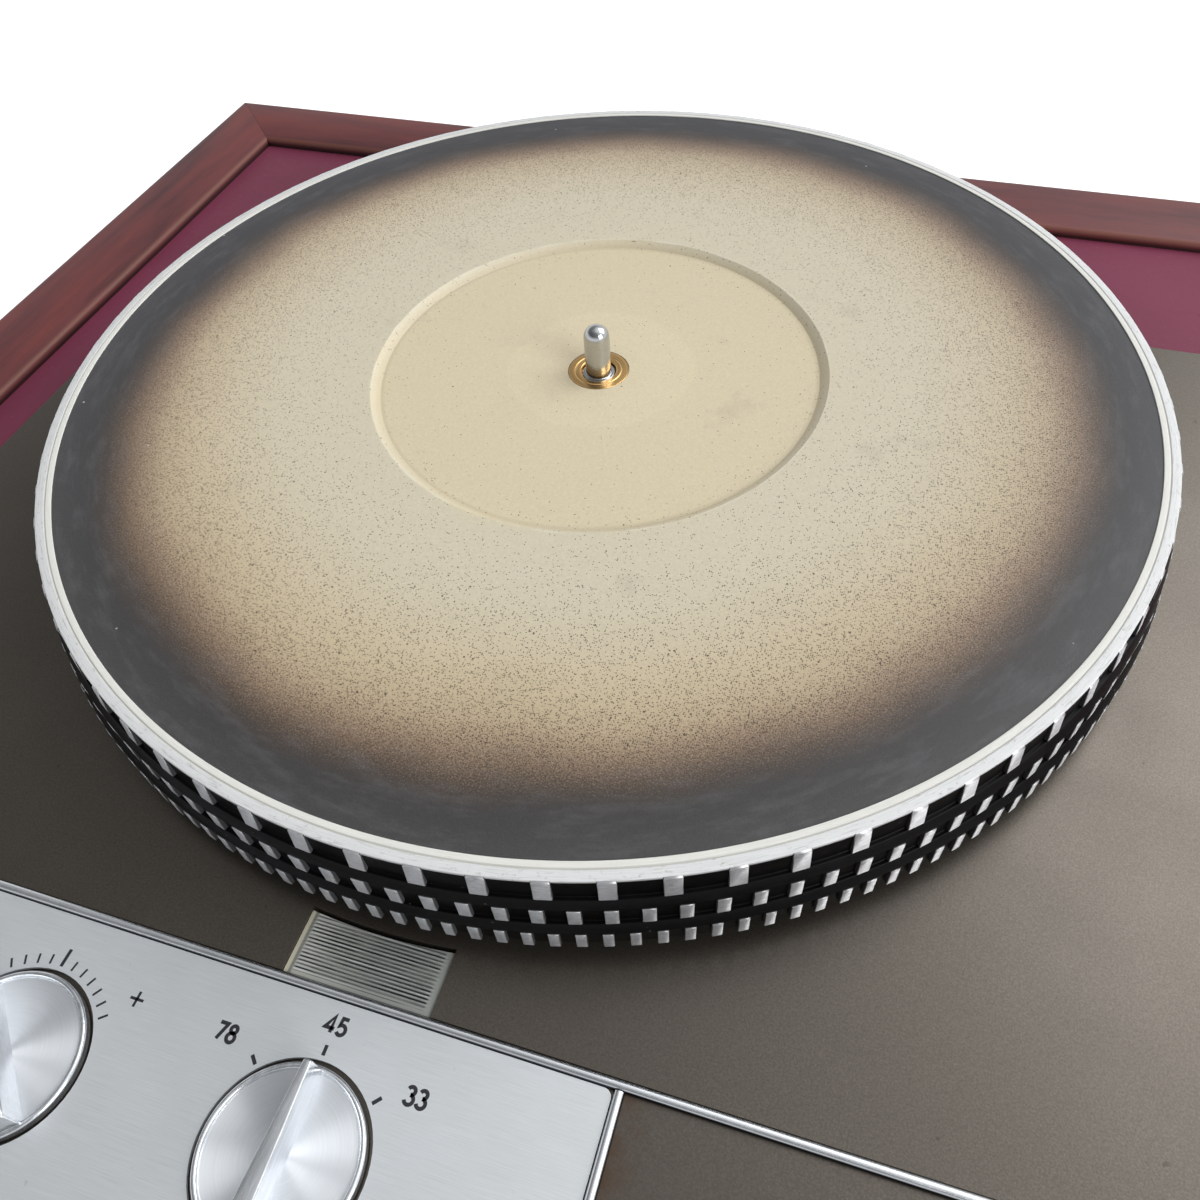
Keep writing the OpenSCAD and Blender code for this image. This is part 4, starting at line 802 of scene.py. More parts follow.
def strobe_lugs(s, row):
    """One row of lugs. Each is an eight-cornered outline, cut back at its corners by the bevel, at four
    depths: in the wall, at the ring's edge, behind the bevel, and on the face, drawn in by the bevel. The
    point (across, up) at depth d of the lug at angle a is at radius wall + d, angle a + across / radius.
    An upper lug's top slopes down from the ring, and its face leans back to it."""
    walls, tops = lug_rows(s)
    count, share, phase = LUG_ROWS[row]
    stand, bevel = s["lug_stand"], s["lug_bevel"]
    half = (walls[row] + stand) * math.pi * share / count
    root, below_ring = 1.0, 0.18
    depth = np.array([-root, stand - s["lug_lead"], stand - bevel, stand])[:, None]
    inset = np.array([0.0, 0.0, 0.0, bevel])
    flush = s["ring_lip"] - below_ring
    lift = np.array([flush, flush, flush - s["lug_drop"], flush - s["lug_drop"]]) if row == 0 else np.zeros(4)
    corner_x = np.array([-1, -1, -1, -1, 1, 1, 1, 1])
    cut_x = np.array([1, 0, 0, 1, 1, 0, 0, 1])
    corner_z = np.array([0, 0, 1, 1, 1, 1, 0, 0])
    cut_z = np.array([0, 1, 1, 0, 0, 1, 1, 0])
    across = corner_x * (half - inset[:, None] - cut_x * bevel)
    up = np.where(corner_z == 1, lift[:, None] - inset[:, None] - cut_z * bevel,
        -s["lug_h"] + inset[:, None] + cut_z * bevel)
    lean = s["lug_lean"] if row == 0 else 0.0
    radius = walls[row] + depth - lean * corner_z * (depth > stand / 2)
    angle = np.radians(phase) + TURN * np.arange(count)[:, None, None] / count + across / radius
    points = np.stack([AXIS[0] + radius * np.cos(angle), AXIS[1] + radius * np.sin(angle),
        RING_Z + tops[row] + up + 0 * angle], axis=3)
    quads, row4, col4 = grid_faces(4, 8, False, True)
    shift = 32 * np.arange(count)[:, None]
    sides = (shift[:, :, None] + quads).reshape(-1, 4).tolist()
    fronts = (shift + np.arange(24, 32)[::-1]).tolist()
    backs = (shift + np.arange(8)).tolist()
    uv = np.stack([row4 / 4, col4 / 8], axis=2).reshape(-1, 2)
    flat = np.stack([up, across + 0 * up], axis=2)
    uv = np.vstack([np.tile(part, (count, 1)) for part in (uv, flat[3, ::-1], flat[0])])
    top_quad = (np.arange(24) % 8 == 3) & (row == 0)
    bright = np.tile((np.arange(24) >= 16) | top_quad, count)
    index = np.concatenate([np.where(bright, 0, 1), np.zeros(count), np.ones(count)])
    return (points.reshape(-1, 3), sides + fronts + backs, uv), index


class DressPlatter(bpy.types.Operator):
    """Makes the platter's turned body and its three rows of strobe lugs"""

    bl_idname = "turntable.dress_platter"
    bl_label = "Platter"

    def execute(self, context):
        s = in_mm(context.scene.turntable_platter)
        colours = context.scene.turntable_colours
        profile = platter_profile(s)
        ring_r, ring_in, rim_in = s["ring_r"], s["ring_r"] - s["ring_w"], s["ring_r"] - s["rim_t"]
        r, z = ((profile + np.roll(profile, -1, axis=0)) / 2).T
        under = z < -s["face_drop"] - s["label_depth"] - 0.1
        on_ring = (r > ring_in - 0.01) & (z > -s["ring_lip"])
        on_face = (r < ring_in) & ~under
        on_rim = ((r > ring_r - 2) & under) | (r > ring_r - 0.3)
        finish_of = np.select([on_ring, on_face, on_rim], [1, 0, 2], 3)
        finish_of[(z < -s["rim_h"] + 0.05) & (r > rim_in + 1)] = 2
        profile[:, 1] += RING_Z
        finishes = [platter_paint(colours), bare_ring(colours, s), rim_paint("rim_paint", colours.rim),
            worked_metal("cast_underside", srgb(150, 150, 146), 0.55, 0.85, 0.8)]
        make_piece("platter_body", lathe(profile, s["steps"], AXIS, closed=True), finishes, "platter", ["platter"],
            np.repeat(finish_of, s["steps"]))
        shapes, indices = zip(*[strobe_lugs(s, row) for row in range(3)])
        # The lugs' sides are the rim's black paint, given a lighter grey as painted light where they catch the
        # light
        finishes = [lug_metal(colours), rim_paint("lug_sides_painted_light", srgb(84, 84, 86))]
        make_piece("strobe_lugs", joined(*shapes), finishes, "platter", (),
            np.concatenate(indices))
        return {"FINISHED"}


class DressSpindle(bpy.types.Operator):
    """Makes the brass hub bush and the domed spindle"""

    bl_idname = "turntable.dress_spindle"
    bl_label = "Spindle and bush"

    def execute(self, context):
        s = in_mm(context.scene.turntable_platter)
        colours = context.scene.turntable_colours
        bore, pin_r = s["bush_bore"], s["pin_r"]
        seat, top = (corner[2] for corner in corners("hub_bush"))
        groove_r, groove_half, groove_depth = 6.6, 0.3, 0.12
        outer = s["bush_r"] - 0.12
        bush = fillet([
            (bore, seat, 0), (bore, top, 0.35), (groove_r - groove_half, top, 0.05),
            (groove_r, top - groove_depth, 0.05), (groove_r + groove_half, top, 0.05), (outer, top, 0.15),
            (outer, seat, 0.3), (bore, seat, 0)])[:-1]
        make_piece("hub_bush_ring", lathe(bush, 128, AXIS, closed=True),
            [turned_metal("turned_brass", colours.brass, AXIS, 0.24)], "platter", ["hub_bush"])
        foot, tip = (corner[2] for corner in corners("spindle"))
        collar_r, collar_top, collar_h = bore - 0.4, top - 0.6, 1.2
        snug = bore - 0.02
        polar = np.linspace(0.02, math.pi / 2, 18)
        dome = np.stack([pin_r * np.sin(polar), tip - pin_r + pin_r * np.cos(polar)], axis=1)
        shaft = fillet([
            (pin_r, tip - pin_r - 0.1, 0), (pin_r, collar_top, 0.25), (collar_r, collar_top, 0.25),
            (collar_r, collar_top - collar_h, 0.1), (snug, collar_top - collar_h, 0.1), (snug, seat, 0),
            (s["journal_r"], seat, 0.4), (s["journal_r"], foot, 0.8), (0.1, foot, 0)])
        make_piece("spindle_shaft", lathe(np.vstack([dome, shaft]), 96, AXIS), [spindle_steel(colours)],
            "platter", ["spindle"])
        return {"FINISHED"}


def knob_shape(s, centre, turn):
    """A dished disc with a round rim, turned, and its blade: a tapering section, rounded at its top edges,
    carried from the tail to the pointer and drawn in by the bevel at both ends. Returns the shape, and 0 for
    each quad of the dished face and 1 for the others."""
    top = PLATE_Z + s["knob_rise"]
    face, under = top - s["knob_dish"], PLATE_Z - s["knob_sunk"]
    inner, half_rim = s["knob_r"] - s["knob_rim"], s["knob_rim"] / 2
    rim_round, steps = half_rim - 0.05, 160
    disc = fillet([
        (0.1, face - 0.15, 0), (inner, face, 0.15), (inner, top, rim_round), (s["knob_r"], top, rim_round),
        (s["knob_r"], under, 0.2), (0.1, under, 0)], 6)
    reach, bevel = s["knob_r"] - half_rim, s["blade_bevel"]
    foot, crest, draft = face - 0.4, PLATE_Z + s["blade_h"], 0.12
    bend = np.linspace(0, math.pi / 2, 5)
    ease, end = bevel * (1 - np.sin(bend)), bevel * (1 - np.cos(bend))
    run = np.concatenate([end - reach, np.linspace(2 - reach, reach - 2, 9), reach - end[::-1]])
    drawn = np.concatenate([ease, np.zeros(9), ease[::-1]])
    share = (run + reach) / (2 * reach)
    half = ((s["blade_tail"] * (1 - share) + s["blade_tip"] * share) / 2 - drawn)[:, None]
    side_x = half - draft - bevel + bevel * np.cos(bend)
    side_z = (crest - drawn - bevel)[:, None] + bevel * np.sin(bend)
    x = np.hstack([half, side_x, -side_x[:, ::-1], -half])
    z = np.hstack([foot + 0 * half, side_z, side_z[:, ::-1], foot + 0 * half])
    y = run[:, None] + 0 * x
    blade = np.stack([centre[0] + x * math.cos(turn) - y * math.sin(turn),
        centre[1] + x * math.sin(turn) + y * math.cos(turn), z], axis=2)
    shape = joined(lathe(disc, steps, centre), sweep(blade))
    r, level = np.repeat((disc[:-1] + disc[1:]) / 2, steps, axis=0).T
    plain = np.where((r < inner - 0.1) & (level > under + 0.5), 0, 1)
    caps = [0, 1]
    return shape, np.concatenate([plain, caps, np.ones(len(shape[1]) - len(plain) - len(caps))])


class DressKnobs(bpy.types.Operator):
    """Makes the speed, pitch and power knobs with their blades"""

    bl_idname = "turntable.dress_knobs"
    bl_label = "Knobs"

    def execute(self, context):
        s = in_mm(context.scene.turntable_controls)
        colours = context.scene.turntable_colours
        turns = {"speed": 0.0, "pitch": s["pitch_rest"], "power": s["power_rest"]}
        polish = worked_metal("knob_polish", colours.chrome, 0.20, 0.9, 0.9, (1, 0.15, 1))
        for name, centre in KNOBS.items():
            shape, index = knob_shape(s, centre, turns[name])
            finishes = [spun_face(colours, name + "_knob_face", centre), polish]
            make_piece(name + "_knob_dial", shape, finishes, name + "_control", [name + "_knob"],
                index)
        return {"FINISHED"}


class DressRails(bpy.types.Operator):
    """Makes the four mitred rails of the plinth: a section carried along each rail, and drawn in to a circle
    about the upright corner"""

    bl_idname = "turntable.dress_rails"
    bl_label = "Rails"

    def execute(self, context):
        s = in_mm(context.scene.turntable_plinth)
        low, high = corners("front_rail")
        foot, top, width, crown, corner_r = low[2], high[2], s["rail_w"], s["crown"], s["corner_r"]
        spread = np.linspace(0, 1, 9)[1:-1]
        crowned = [(width * u, top - crown * (2 * u - 1) ** 2 - s["fall"] * u ** 2, 0) for u in spread]
        section = fillet([
            (0, foot, 0), (0, top - crown, s["edge_r"]), *crowned, (width, top - crown - s["fall"], s["bead_r"]),
            (width, foot, 0), (0, foot, 0)], 6)[:-1]
        girth = round_of(section)
        edge = girth[np.argmax(section[:, 0] > width - s["bead_r"])]
        wood = rail_wood(context.scene.turntable_colours, edge)
        inset = np.linspace(0, corner_r + 1, 9)
        inset = np.concatenate([inset, inset[::-1]])[:, None]
        side_of = np.repeat([-1, 1], len(inset) // 2)[:, None]
        near, far = corners("left_rail")
        lengths = (high[0] - low[0], far[1] - near[1])
        grain_shift = 700
        for turn, side in enumerate(("front", "right", "rear", "left")):
            half, offset = lengths[turn % 2] / 2, lengths[1 - turn % 2] / 2
            x = side_of * (half - s["joint_gap"] - section[:, 0] - inset)
            y = section[:, 0] - offset + 0 * x
            hub_x, hub_y = np.sign(x) * (half - corner_r), corner_r - offset
            reach = np.hypot(x - hub_x, y - hub_y)
            pull = np.where((np.abs(x) > np.abs(hub_x)) & (y < hub_y), np.minimum(1, corner_r / reach), 1.0)
            x, y = hub_x + (x - hub_x) * pull, hub_y + (y - hub_y) * pull
            points, faces, uv = sweep(np.stack([x, y, section[:, 1] + 0 * x], axis=2), girth=girth)
            uv[:, 0] = points[np.concatenate(faces), 0] + turn * grain_shift
            cos, sin = math.cos(turn * math.pi / 2), math.sin(turn * math.pi / 2)
            spin = np.array([[cos, sin, 0], [-sin, cos, 0], [0, 0, 1]])
            make_piece(side + "_rail_wood", (points @ spin, faces, uv), [wood], "base", [side + "_rail"],
                sharp=math.radians(50))
        return {"FINISHED"}


class DressTrims(bpy.types.Operator):
    """Makes the half-round chrome trims behind and beside the control plate"""

    bl_idname = "turntable.dress_trims"
    bl_label = "Trims"

    def execute(self, context):
        chrome = polished_chrome(context.scene.turntable_colours)
        for name, way in (("rear_trim", 0), ("end_trim", 1)):
            low, high = corners(name)
            across = 1 - way
            radius = (high[across] - low[across]) / 2
            bend = np.linspace(0, math.pi, 17)
            off = np.concatenate([[radius], radius * np.cos(bend), [-radius]])
            up = np.concatenate([[low[2]], high[2] - radius + radius * np.sin(bend), [low[2]]])
            stations = np.zeros((2, len(off), 3))
            stations[:, :, way] = np.array([low[way], high[way]])[:, None]
            stations[:, :, across] = (low[across] + high[across]) / 2 + off
            stations[:, :, 2] = up
            wall = high[2] - radius - low[2]
            points, faces, uv = sweep(stations)
            uv[:, 1] = (uv[:, 1] - wall) / (math.pi * radius)
            make_piece(name + "_bead", (points, faces, uv), [chrome], "base", [name])
        return {"FINISHED"}


class DressWindow(bpy.types.Operator):
    """Makes the ribbed strobe window"""

    bl_idname = "turntable.dress_window"
    bl_label = "Strobe window"

    def execute(self, context):
        lens = ribbed_window(in_mm(context.scene.turntable_controls))
        make_piece("strobe_window_lens", lens, [window_plastic(context.scene.turntable_colours)],
            "base", ["strobe_window"], sharp=math.radians(60))
        return {"FINISHED"}


def ribbed_window(s):
    """The window's top is a grid of u across and v from front to rear: y runs from the straight front edge
    to the arc about the platter axis, and z is a row of round ribs, each 1 - (2 f - 1)^2 of the rib's height
    for the fraction f of its pitch, inside a flat border. A flat floor and the sides close it."""
    front, ribs, half = TRIM_REAR, s["window_ribs"], s["window_w"] / 2
    top, floor = DECK_Z - 0.25, corners("strobe_window")[0][2]
    u = np.sin(np.linspace(-math.pi / 2, math.pi / 2, 41)) * half
    per_rib = 8
    v = np.linspace(0, 1, ribs * per_rib + 1)
    x = u[:, None] + 0 * v
    arc = s["window_r"] + s["window_gap"]
    rear = AXIS[1] - np.sqrt(arc ** 2 - u[:, None] ** 2)
    y = front + v * (rear - front)
    count = (y - front) / (rear[0] - front) * ribs
    left_w, right_w, front_w, rear_w, ease, border_drop = 1.7, 1.6, 1.3, 0.7, 0.5, 0.45
    border = np.minimum.reduce([x + half - left_w, half - right_w - x, y - front - front_w, rear - rear_w - y])
    ribbed = np.clip(border / ease, 0, 1)
    z = top - s["rib_h"] * (ribbed * (2 * (count % 1.0) - 1) ** 2 + (1 - ribbed) * border_drop)
    upper = np.stack([AXIS[0] + x, y, z], axis=2)
    lower = upper.copy()
    lower[:, :, 2] = floor
    columns, rows = upper.shape[:2]
    quads, row4, col4 = grid_faces(columns, rows)
    uv = np.stack([0.5 + u[row4] / s["window_w"], count[row4, col4]], axis=2).reshape(-1, 2)
    total = columns * rows
    index = np.arange(total).reshape(columns, rows)
    loop = np.concatenate([index[:-1, 0], index[-1, :-1], index[:0:-1, -1], index[0, :0:-1]])
    after = np.roll(loop, -1)
    sides = np.stack([loop, after, after + total, loop + total], axis=1)
    faces = np.vstack([quads, quads[:, ::-1] + total, sides[:, ::-1]]).tolist()
    uv = np.vstack([uv, uv, np.full((4 * len(sides), 2), 0.5)])
    return np.vstack([upper.reshape(-1, 3), lower.reshape(-1, 3)]), faces, uv


def ink_line(path, s, closed=False):
    """A printed line: a flat rectangle carried along a path on the plate, mitred at its corners."""
    path = np.array(path, float)
    before = np.roll(path, 1, axis=0) if closed else np.vstack([2 * path[0] - path[1], path[:-1]])
    after = np.roll(path, -1, axis=0) if closed else np.vstack([path[1:], 2 * path[-1] - path[-2]])
    go = unit(after - path)
    way = unit(unit(path - before) + go)
    normal = np.stack([-way[:, 1], way[:, 0]], axis=1)
    mitre = np.clip(np.sum(way * go, axis=1), 0.5, 1)[:, None]
    off = normal / mitre * s["ink_w"] / 2
    left, right = path + off, path - off
    low, high = PLATE_Z - 0.01, PLATE_Z + s["ink_t"]
    flat = np.stack([left, right, right, left], axis=1)
    level = np.array([high, high, low, low])[None, :, None] + 0 * flat[:, :, :1]
    return sweep(np.concatenate([flat, level], axis=2), closed)


def bow(cx, cy, rx, ry, start, end, steps=14):
    """Points along an ellipse's arc, angles in degrees."""
    angle = np.radians(np.linspace(start, end, steps))
    return np.stack([cx + rx * np.cos(angle), cy + ry * np.sin(angle)], axis=1)


def loop_of(cx, cy, rx, ry):
    """Points of a whole ellipse."""
    return bow(cx, cy, rx, ry, 90, 450, 25)[:-1]


# Figures and letters drawn as lines on a cell one unit high: width, then (points, closed) for each line
GLYPHS = {
    "3": (0.58, [(bow(0.26, 0.75, 0.22, 0.21, 160, -90), False), (bow(0.26, 0.28, 0.27, 0.26, 90, -165), False)]),
    "4": (0.66, [([(0.46, 0.02), (0.46, 0.96), (0.04, 0.27), (0.64, 0.27)], False)]),
    "5": (0.58, [(np.vstack([
        [(0.50, 0.95), (0.12, 0.95), (0.08, 0.53)], bow(0.25, 0.31, 0.27, 0.28, 125, -150)]), False)]),
    "7": (0.58, [([(0.03, 0.95), (0.54, 0.95), (0.20, 0.02)], False)]),
    "8": (0.60, [(loop_of(0.29, 0.75, 0.20, 0.20), True), (loop_of(0.29, 0.28, 0.25, 0.26), True)]),
    "+": (0.70, [([(0.0, 0.5), (0.70, 0.5)], False), ([(0.35, 0.15), (0.35, 0.85)], False)]),
    "-": (0.70, [([(0.0, 0.5), (0.70, 0.5)], False)]),
    "O": (0.72, [(loop_of(0.34, 0.5, 0.30, 0.46), True)]),
    "N": (0.66, [([(0.06, 0.0), (0.06, 0.95), (0.58, 0.05), (0.58, 1.0)], False)]),
    "F": (0.52, [([(0.06, 0.0), (0.06, 0.95), (0.50, 0.95)], False), ([(0.06, 0.52), (0.42, 0.52)], False)]),
}


def words(text, centre, s):
    """Lines of a word, centred on a point of the plate."""
    gap = 0.16
    x = -(sum(GLYPHS[letter][0] for letter in text) + gap * (len(text) - 1)) / 2
    lines = []
    for letter in text:
        advance, strokes = GLYPHS[letter]
        for path, closed in strokes:
            lines.append(ink_line(np.array(centre) + (np.array(path) + [x, -0.5]) * s["figure_h"], s, closed))
        x += advance + gap
    return lines


def tick(centre, degrees, near, far, s):
    """A radial line about a knob, at an angle from its upper mark."""
    way = np.array([-math.sin(math.radians(degrees)), math.cos(math.radians(degrees))])
    return ink_line([centre + way * near, centre + way * far], s)


class DressPrint(bpy.types.Operator):
    """Prints the ticks and figures round the three knobs"""

    bl_idname = "turntable.dress_print"
    bl_label = "Print"

    def execute(self, context):
        s = in_mm(context.scene.turntable_controls)
        near, far, long_far = s["knob_r"] + 1.9, s["knob_r"] + 3.9, s["knob_r"] + 5.6
        speed, pitch, power = KNOBS["speed"], KNOBS["pitch"], KNOBS["power"]
        bold = {**s, "ink_w": s["ink_w"] * 1.65}
        sign = {**s, "ink_w": s["ink_w"] * 1.25, "figure_h": 4.4}
        small = {**s, "ink_w": s["ink_w"] * 1.2, "figure_h": 3.2}
        lines = [tick(speed, angle, near, far, bold) for angle in (45, 2, -44)]
        lines += [tick(pitch, angle, near, far, s) for angle in np.arange(-6, 7) * 8.6 if angle]
        lines += [tick(pitch, 0, near, long_far, bold)]
        lines += [tick(power, angle, near, far, bold) for angle in (30, -30)]
        for text, centre, offset, pen in (
                ("78", speed, (-21.4, 16.5), bold), ("45", speed, (-0.6, 24.0), bold),
                ("33", speed, (20.4, 16.4), bold), ("+", pitch, (19.7, 16.9), sign),
                ("-", pitch, (-19.7, 16.9), sign), ("OFF", power, (-15.5, 20.5), small),
                ("ON", power, (14.5, 20.5), small)):
            lines += words(text, centre + offset, pen)
        make_piece("dial_print", joined(*lines), [plate_ink(context.scene.turntable_colours)], "base")
        return {"FINISHED"}


class DressFeet(bpy.types.Operator):
    """Makes the rubber feet and the cable grommet"""

    bl_idname = "turntable.dress_feet"
    bl_label = "Feet and grommet"

    def execute(self, context):
        s = in_mm(context.scene.turntable_plinth)
        rubber = moulded("moulded_rubber", context.scene.turntable_colours.rubber, 0.66)
        high, screw_high = corners("feet")[1], corners("foot_screws")[1]
        head_r = 4.5
        radius, top = (high[0] - screw_high[0]) + head_r, high[2]
        # A groove round the foot: shares of the taper and of the height, and a rounding
        waist = [(0.55, 0.45, 0), (0.75, 0.52, 0.5), (0.40, 0.58, 0)]
        section = fillet([
            (s["screw_r"], s["foot_sink"], 0), (s["foot_sink_r"], s["foot_sink"], 0.6), (s["foot_sink_r"], 0, 1.0),
            (radius - s["foot_taper"], 0, 1.6), *[(radius - a * s["foot_taper"], top * b, c) for a, b, c in waist],
            (radius, top, 0.8), (s["screw_r"], top, 0)])
        at_x, at_y = high[0] - radius, high[1] - radius
        feet = [lathe(section, 72, (sx * at_x, sy * at_y), closed=True) for sx in (-1, 1) for sy in (-1, 1)]
        make_piece("rubber_feet", joined(*feet), [rubber], "base", ["feet"])
        low, high = corners("cable_grommet")
        inside, outside = low[1], high[1]
        neck_r, flange_r, bore_r = 7.0, (high[0] - low[0]) / 2, 4.0
        flange, proud, web = outside - 2.5, outside + 1.8, outside + 0.2
        ring = fillet([
            (0.1, inside, 0), (neck_r, inside, 0.8), (neck_r, flange, 0), (flange_r, flange, 0.3),
            (flange_r, proud, 0.9), (bore_r, proud, 0.9), (bore_r, web, 0.2), (0.1, web, 0)])
        points, faces, uv = lathe(ring, 64, (0, 0))
        centre = (low + high) / 2
        points = np.stack([centre[0] + points[:, 0], points[:, 2], centre[2] + points[:, 1]], axis=1)
        make_piece("grommet_ring", (points, faces, uv), [rubber], "base", ["cable_grommet"])
        return {"FINISHED"}


class DressFrame(bpy.types.Operator):
    """Gives every CAD part that stays in view its finish, and rounds the sheet metal's edges"""

    bl_idname = "turntable.dress_frame"
    bl_label = "Frame finishes"

    def execute(self, context):
        colours = context.scene.turntable_colours
        finishes = {
            deck_paint(colours): ["chassis"],
            brushed_plate(colours): ["control_plate"],
            board_lacquer(colours): ["top_board"],
            plain_ply(colours): ["base_board", "corner_blocks", "board_cleats"],
            worked_metal("zinc_plated", srgb(196, 190, 170), 0.36, 1.0, 0.5): [
                "foot_screws", "base_screws", "chassis_bolts", "bearing_screws", "pillar_nuts", "lamp_holder"],
            worked_metal("machined_steel", colours.steel, 0.34, 1.0, 0.7): [
                "bearing_cap", "thrust_ball", "motor_pillars", "rotor", "motor_shaft", "idler_pivot", "idler_arm",
                "idler_axle", "idler_clip", "brake_pivot", "brake_arm", "magnet_post", "magnet_arm", "speed_shaft",
                "pitch_shaft", "power_shaft"],
            worked_metal("bush_brass", colours.brass, 0.30, 1.0, 0.8): [
                "knob_bushes", "bearing_bushes", "drive_pulley"],
            worked_metal("cast_alloy", srgb(172, 172, 168), 0.52, 0.9, 0.9): [
                "bearing_housing", "idler_hub", "eddy_disc"],
            moulded("motor_enamel", srgb(34, 34, 36), 0.38, 0.7): ["upper_cover", "lower_cover"],
            worked_metal("stator_iron", srgb(120, 116, 112), 0.55, 0.8, 0.8, (0.1, 0.1, 3.0)): ["stator"],
            moulded("magnet_ferrite", srgb(40, 40, 40), 0.62, 1.4, 0.08): ["brake_magnet"],
            moulded("soft_rubber", colours.rubber, 0.70): ["motor_grommets", "idler_tyre", "brake_pad"],
            moulded("switch_plastic", srgb(32, 32, 34), 0.45, 1.2): ["mains_switch"],
            moulded("terminal_plastic", srgb(222, 214, 190), 0.48, 1.2): ["terminal_block"],
            lamp_glass(): ["strobe_lamp"],
        }
        for finish, nodes in finishes.items():
            for name in nodes:
                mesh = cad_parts[name].data
                mesh.materials.clear()
                mesh.materials.append(finish)
        for name, width in (("chassis", 0.5), ("control_plate", 0.18)):
            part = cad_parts[name]
            weld = part.modifiers.new("Weld", "WELD")
            weld.merge_threshold = 0.002 * MM
            bevel = part.modifiers.new("Bevel", "BEVEL")
            bevel.width = width * MM
            bevel.segments = 3
            bevel.limit_method = "ANGLE"
            bevel.angle_limit = math.radians(50)
        return {"FINISHED"}


# Stage

CAMERA_AT = (43.753, -164.856, 333.232)
CAMERA_AZIMUTH = 20.35
CAMERA_ELEVATION = 50.72
CAMERA_ROLL = -4.175
CAMERA_LENS = 29.80
CAMERA_SHIFT = (-0.0109, -0.0060)
FLOOR_SIZE = 40000
SKY_LEAN = (0.75, 0.66, 0.0)
SKY_LIGHT = (0.50, 0.35, 0.79)
# Light panels: name, place from the middle of the platter's ring, width, power in watts
PANELS = (
    ("key_panel", (1000, 850, 1250), 1300, 15),
    ("top_panel", (-150, 100, 1900), 1400, 1.0),
    ("side_panel", (1150, -600, 700), 800, 10),
)


class SetStage(bpy.types.Operator):
    """Sets the floor, the lights, the world and the camera"""

    bl_idname = "turntable.set_stage"
    bl_label = "Stage"

    def execute(self, context):
        scene = context.scene
        scene.view_settings.view_transform = "Standard"
        add_floor(scene)
        add_world(scene)
        for panel in PANELS:
            add_panel(scene, *panel)
        camera = bpy.data.objects.new("photo_camera", bpy.data.cameras.new("photo_camera"))
        scene.collection.objects.link(camera)
        camera.data.sensor_width = 36
        camera.data.lens = CAMERA_LENS
        camera.data.shift_x, camera.data.shift_y = CAMERA_SHIFT
        camera.data.clip_start = 0.01
        camera.matrix_world = (
            Matrix.Translation([x * MM for x in CAMERA_AT])
            @ Matrix.Rotation(math.radians(CAMERA_AZIMUTH), 4, "Z")
            @ Matrix.Rotation(math.radians(90 - CAMERA_ELEVATION), 4, "X")
            @ Matrix.Rotation(math.radians(CAMERA_ROLL), 4, "Z"))
        scene.camera = camera
        return {"FINISHED"}


def add_floor(scene):
    """A wide pale floor under the feet: a soft white that takes the shadow, lifted to white where seen."""
    half = FLOOR_SIZE / 2
    way = np.array([-half, half])
    x, y = np.meshgrid(way, way, indexing="ij")
    points = np.stack([x, y, 0 * x], axis=2).reshape(-1, 3) * MM
    mesh = bpy.data.meshes.new("floor")
    mesh.from_pydata(points.tolist(), [], grid_faces(2, 2)[0].tolist())
    floor = bpy.data.objects.new("floor", mesh)
    scene.collection.objects.link(floor)
    f = Finish("floor_paper", Roughness=0.9, Specular_IOR_Level=0.0, Base_Color=(0.86, 0.86, 0.86, 1),
        Emission_Color=(1, 1, 1, 1))
    f.feed(f.shader.inputs["Emission Strength"], f.times(f.seen_directly(), 0.52))
    mesh.materials.append(f.material)


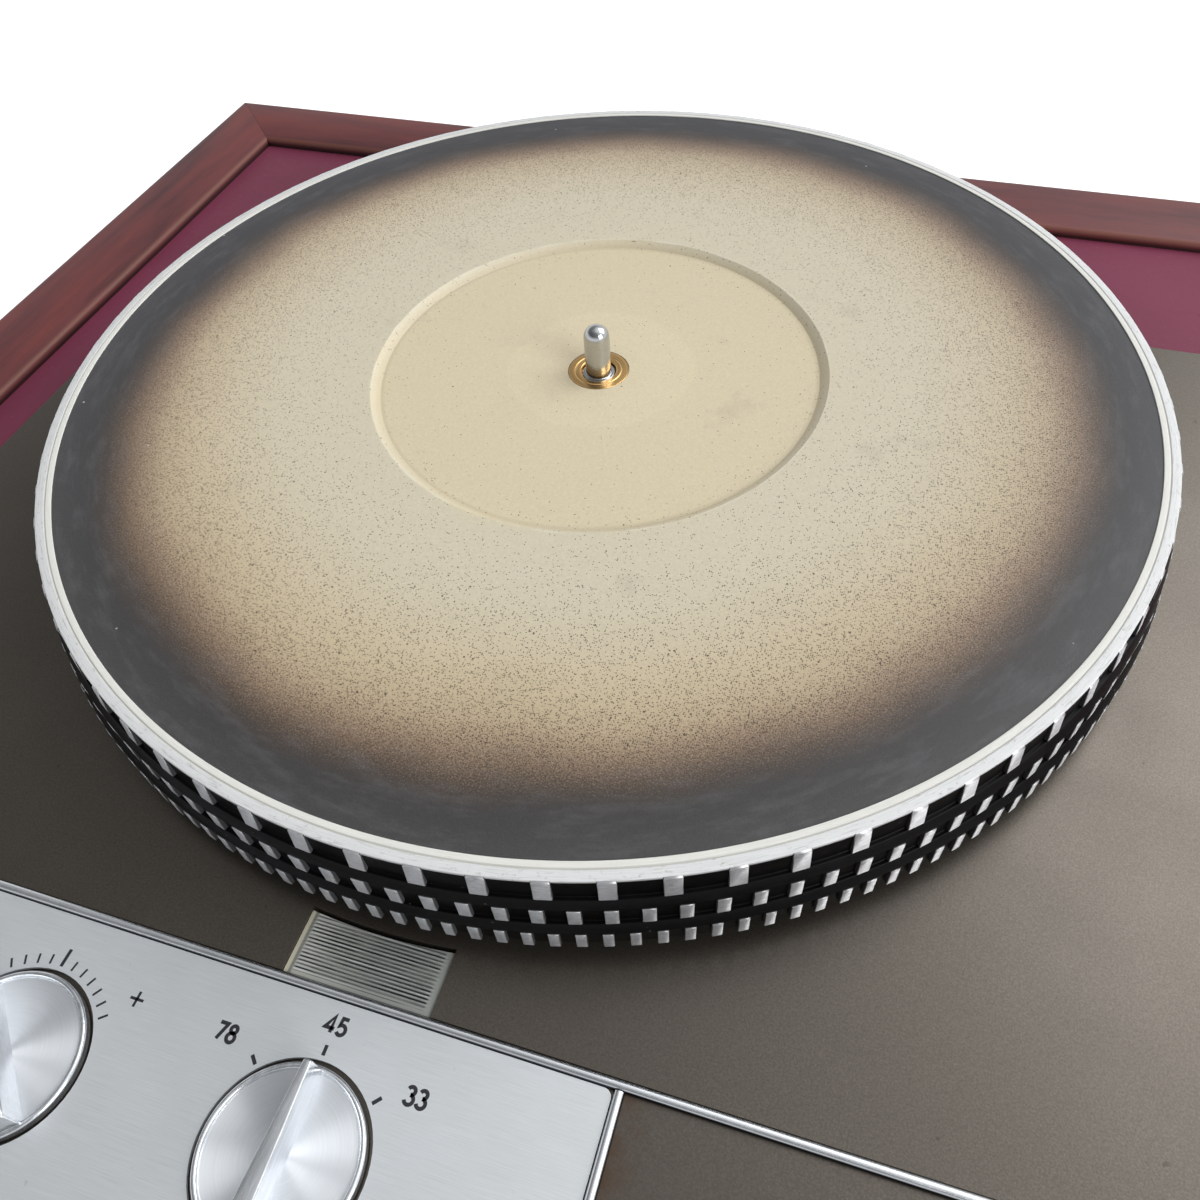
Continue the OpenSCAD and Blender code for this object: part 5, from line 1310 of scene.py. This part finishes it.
def add_world(scene):
    """A pale studio. Its level grows with the share of the direction that lies along SKY_LEAN, and rises in a
    soft cap about SKY_LIGHT. Where it is seen, it turns white towards the horizon."""
    world = bpy.data.worlds.new("pale_room")
    scene.world = world
    world.use_nodes = True
    f = Nodes(world.node_tree)
    way = f.node("TexCoord", {}, "Generated")
    lean = f.node("VectorMath", {0: way, 1: SKY_LEAN}, "Value", operation="DOT_PRODUCT")
    near = f.node("VectorMath", {0: way, 1: SKY_LIGHT}, "Value", operation="DOT_PRODUCT")
    sky = f.maths("ADD", f.span(lean, -1.0, 1.0, 0.10, 0.55), f.span(near, 0.66, 1.0, 0.0, 0.90))
    horizon = f.times(f.span(f.part(way, "Z"), 0.22, 0.56, 1.0, 0.0), f.seen_directly())
    level = f.node("Mix", {0: horizon, 2: sky, 3: 0.97})
    background = f.node("Background", {"Color": (0.97, 0.985, 1.0), "Strength": level})
    f.node("OutputWorld", {0: background}, None)


def add_panel(scene, name, offset, width, power):
    """A square light panel, off from the middle of the platter's ring and facing it."""
    lamp = bpy.data.lights.new(name, "AREA")
    lamp.size = width * MM
    lamp.energy = power
    panel = bpy.data.objects.new(name, lamp)
    scene.collection.objects.link(panel)
    x, y, z = offset
    turn, tilt = math.atan2(x, -y), math.atan2(math.hypot(x, y), z)
    at = Matrix.Translation([(start + off) * MM for start, off in zip((*AXIS, RING_Z), offset)])
    panel.matrix_world = at @ Matrix.Rotation(turn, 4, "Z") @ Matrix.Rotation(tilt, 4, "X")


STEPS = (
    SetStage, DressPlatter, DressSpindle, DressKnobs, DressRails, DressTrims, DressWindow, DressPrint, DressFeet,
    DressFrame)
GROUPS = {
    "turntable_platter": TurntablePlatterSizes,
    "turntable_controls": TurntableControlSizes,
    "turntable_plinth": TurntablePlinthSizes,
    "turntable_colours": TurntableColours,
}


class TurntablePanel(bpy.types.Panel):
    """Lists the turntable's steps and sizes"""

    bl_idname = "VIEW3D_PT_turntable"
    bl_label = "Turntable"
    bl_space_type = "VIEW_3D"
    bl_region_type = "UI"
    bl_category = "Turntable"

    def draw(self, context):
        for step in STEPS:
            self.layout.operator(step.bl_idname)
        for key, group in GROUPS.items():
            box = self.layout.box()
            box.label(text=group.__doc__)
            for name in group.__annotations__:
                box.prop(getattr(context.scene, key), name)


def register():
    for group in GROUPS.values():
        bpy.utils.register_class(group)
    for key, group in GROUPS.items():
        setattr(bpy.types.Scene, key, PointerProperty(type=group))
    for kind in (*STEPS, TurntablePanel):
        bpy.utils.register_class(kind)


def unregister():
    for kind in (TurntablePanel, *reversed(STEPS)):
        bpy.utils.unregister_class(kind)
    for key, group in GROUPS.items():
        delattr(bpy.types.Scene, key)
        bpy.utils.unregister_class(group)


def main():
    register()
    for step in STEPS:
        group, name = step.bl_idname.split(".")
        getattr(getattr(bpy.ops, group), name)()


if __name__ == "__main__":
    main()
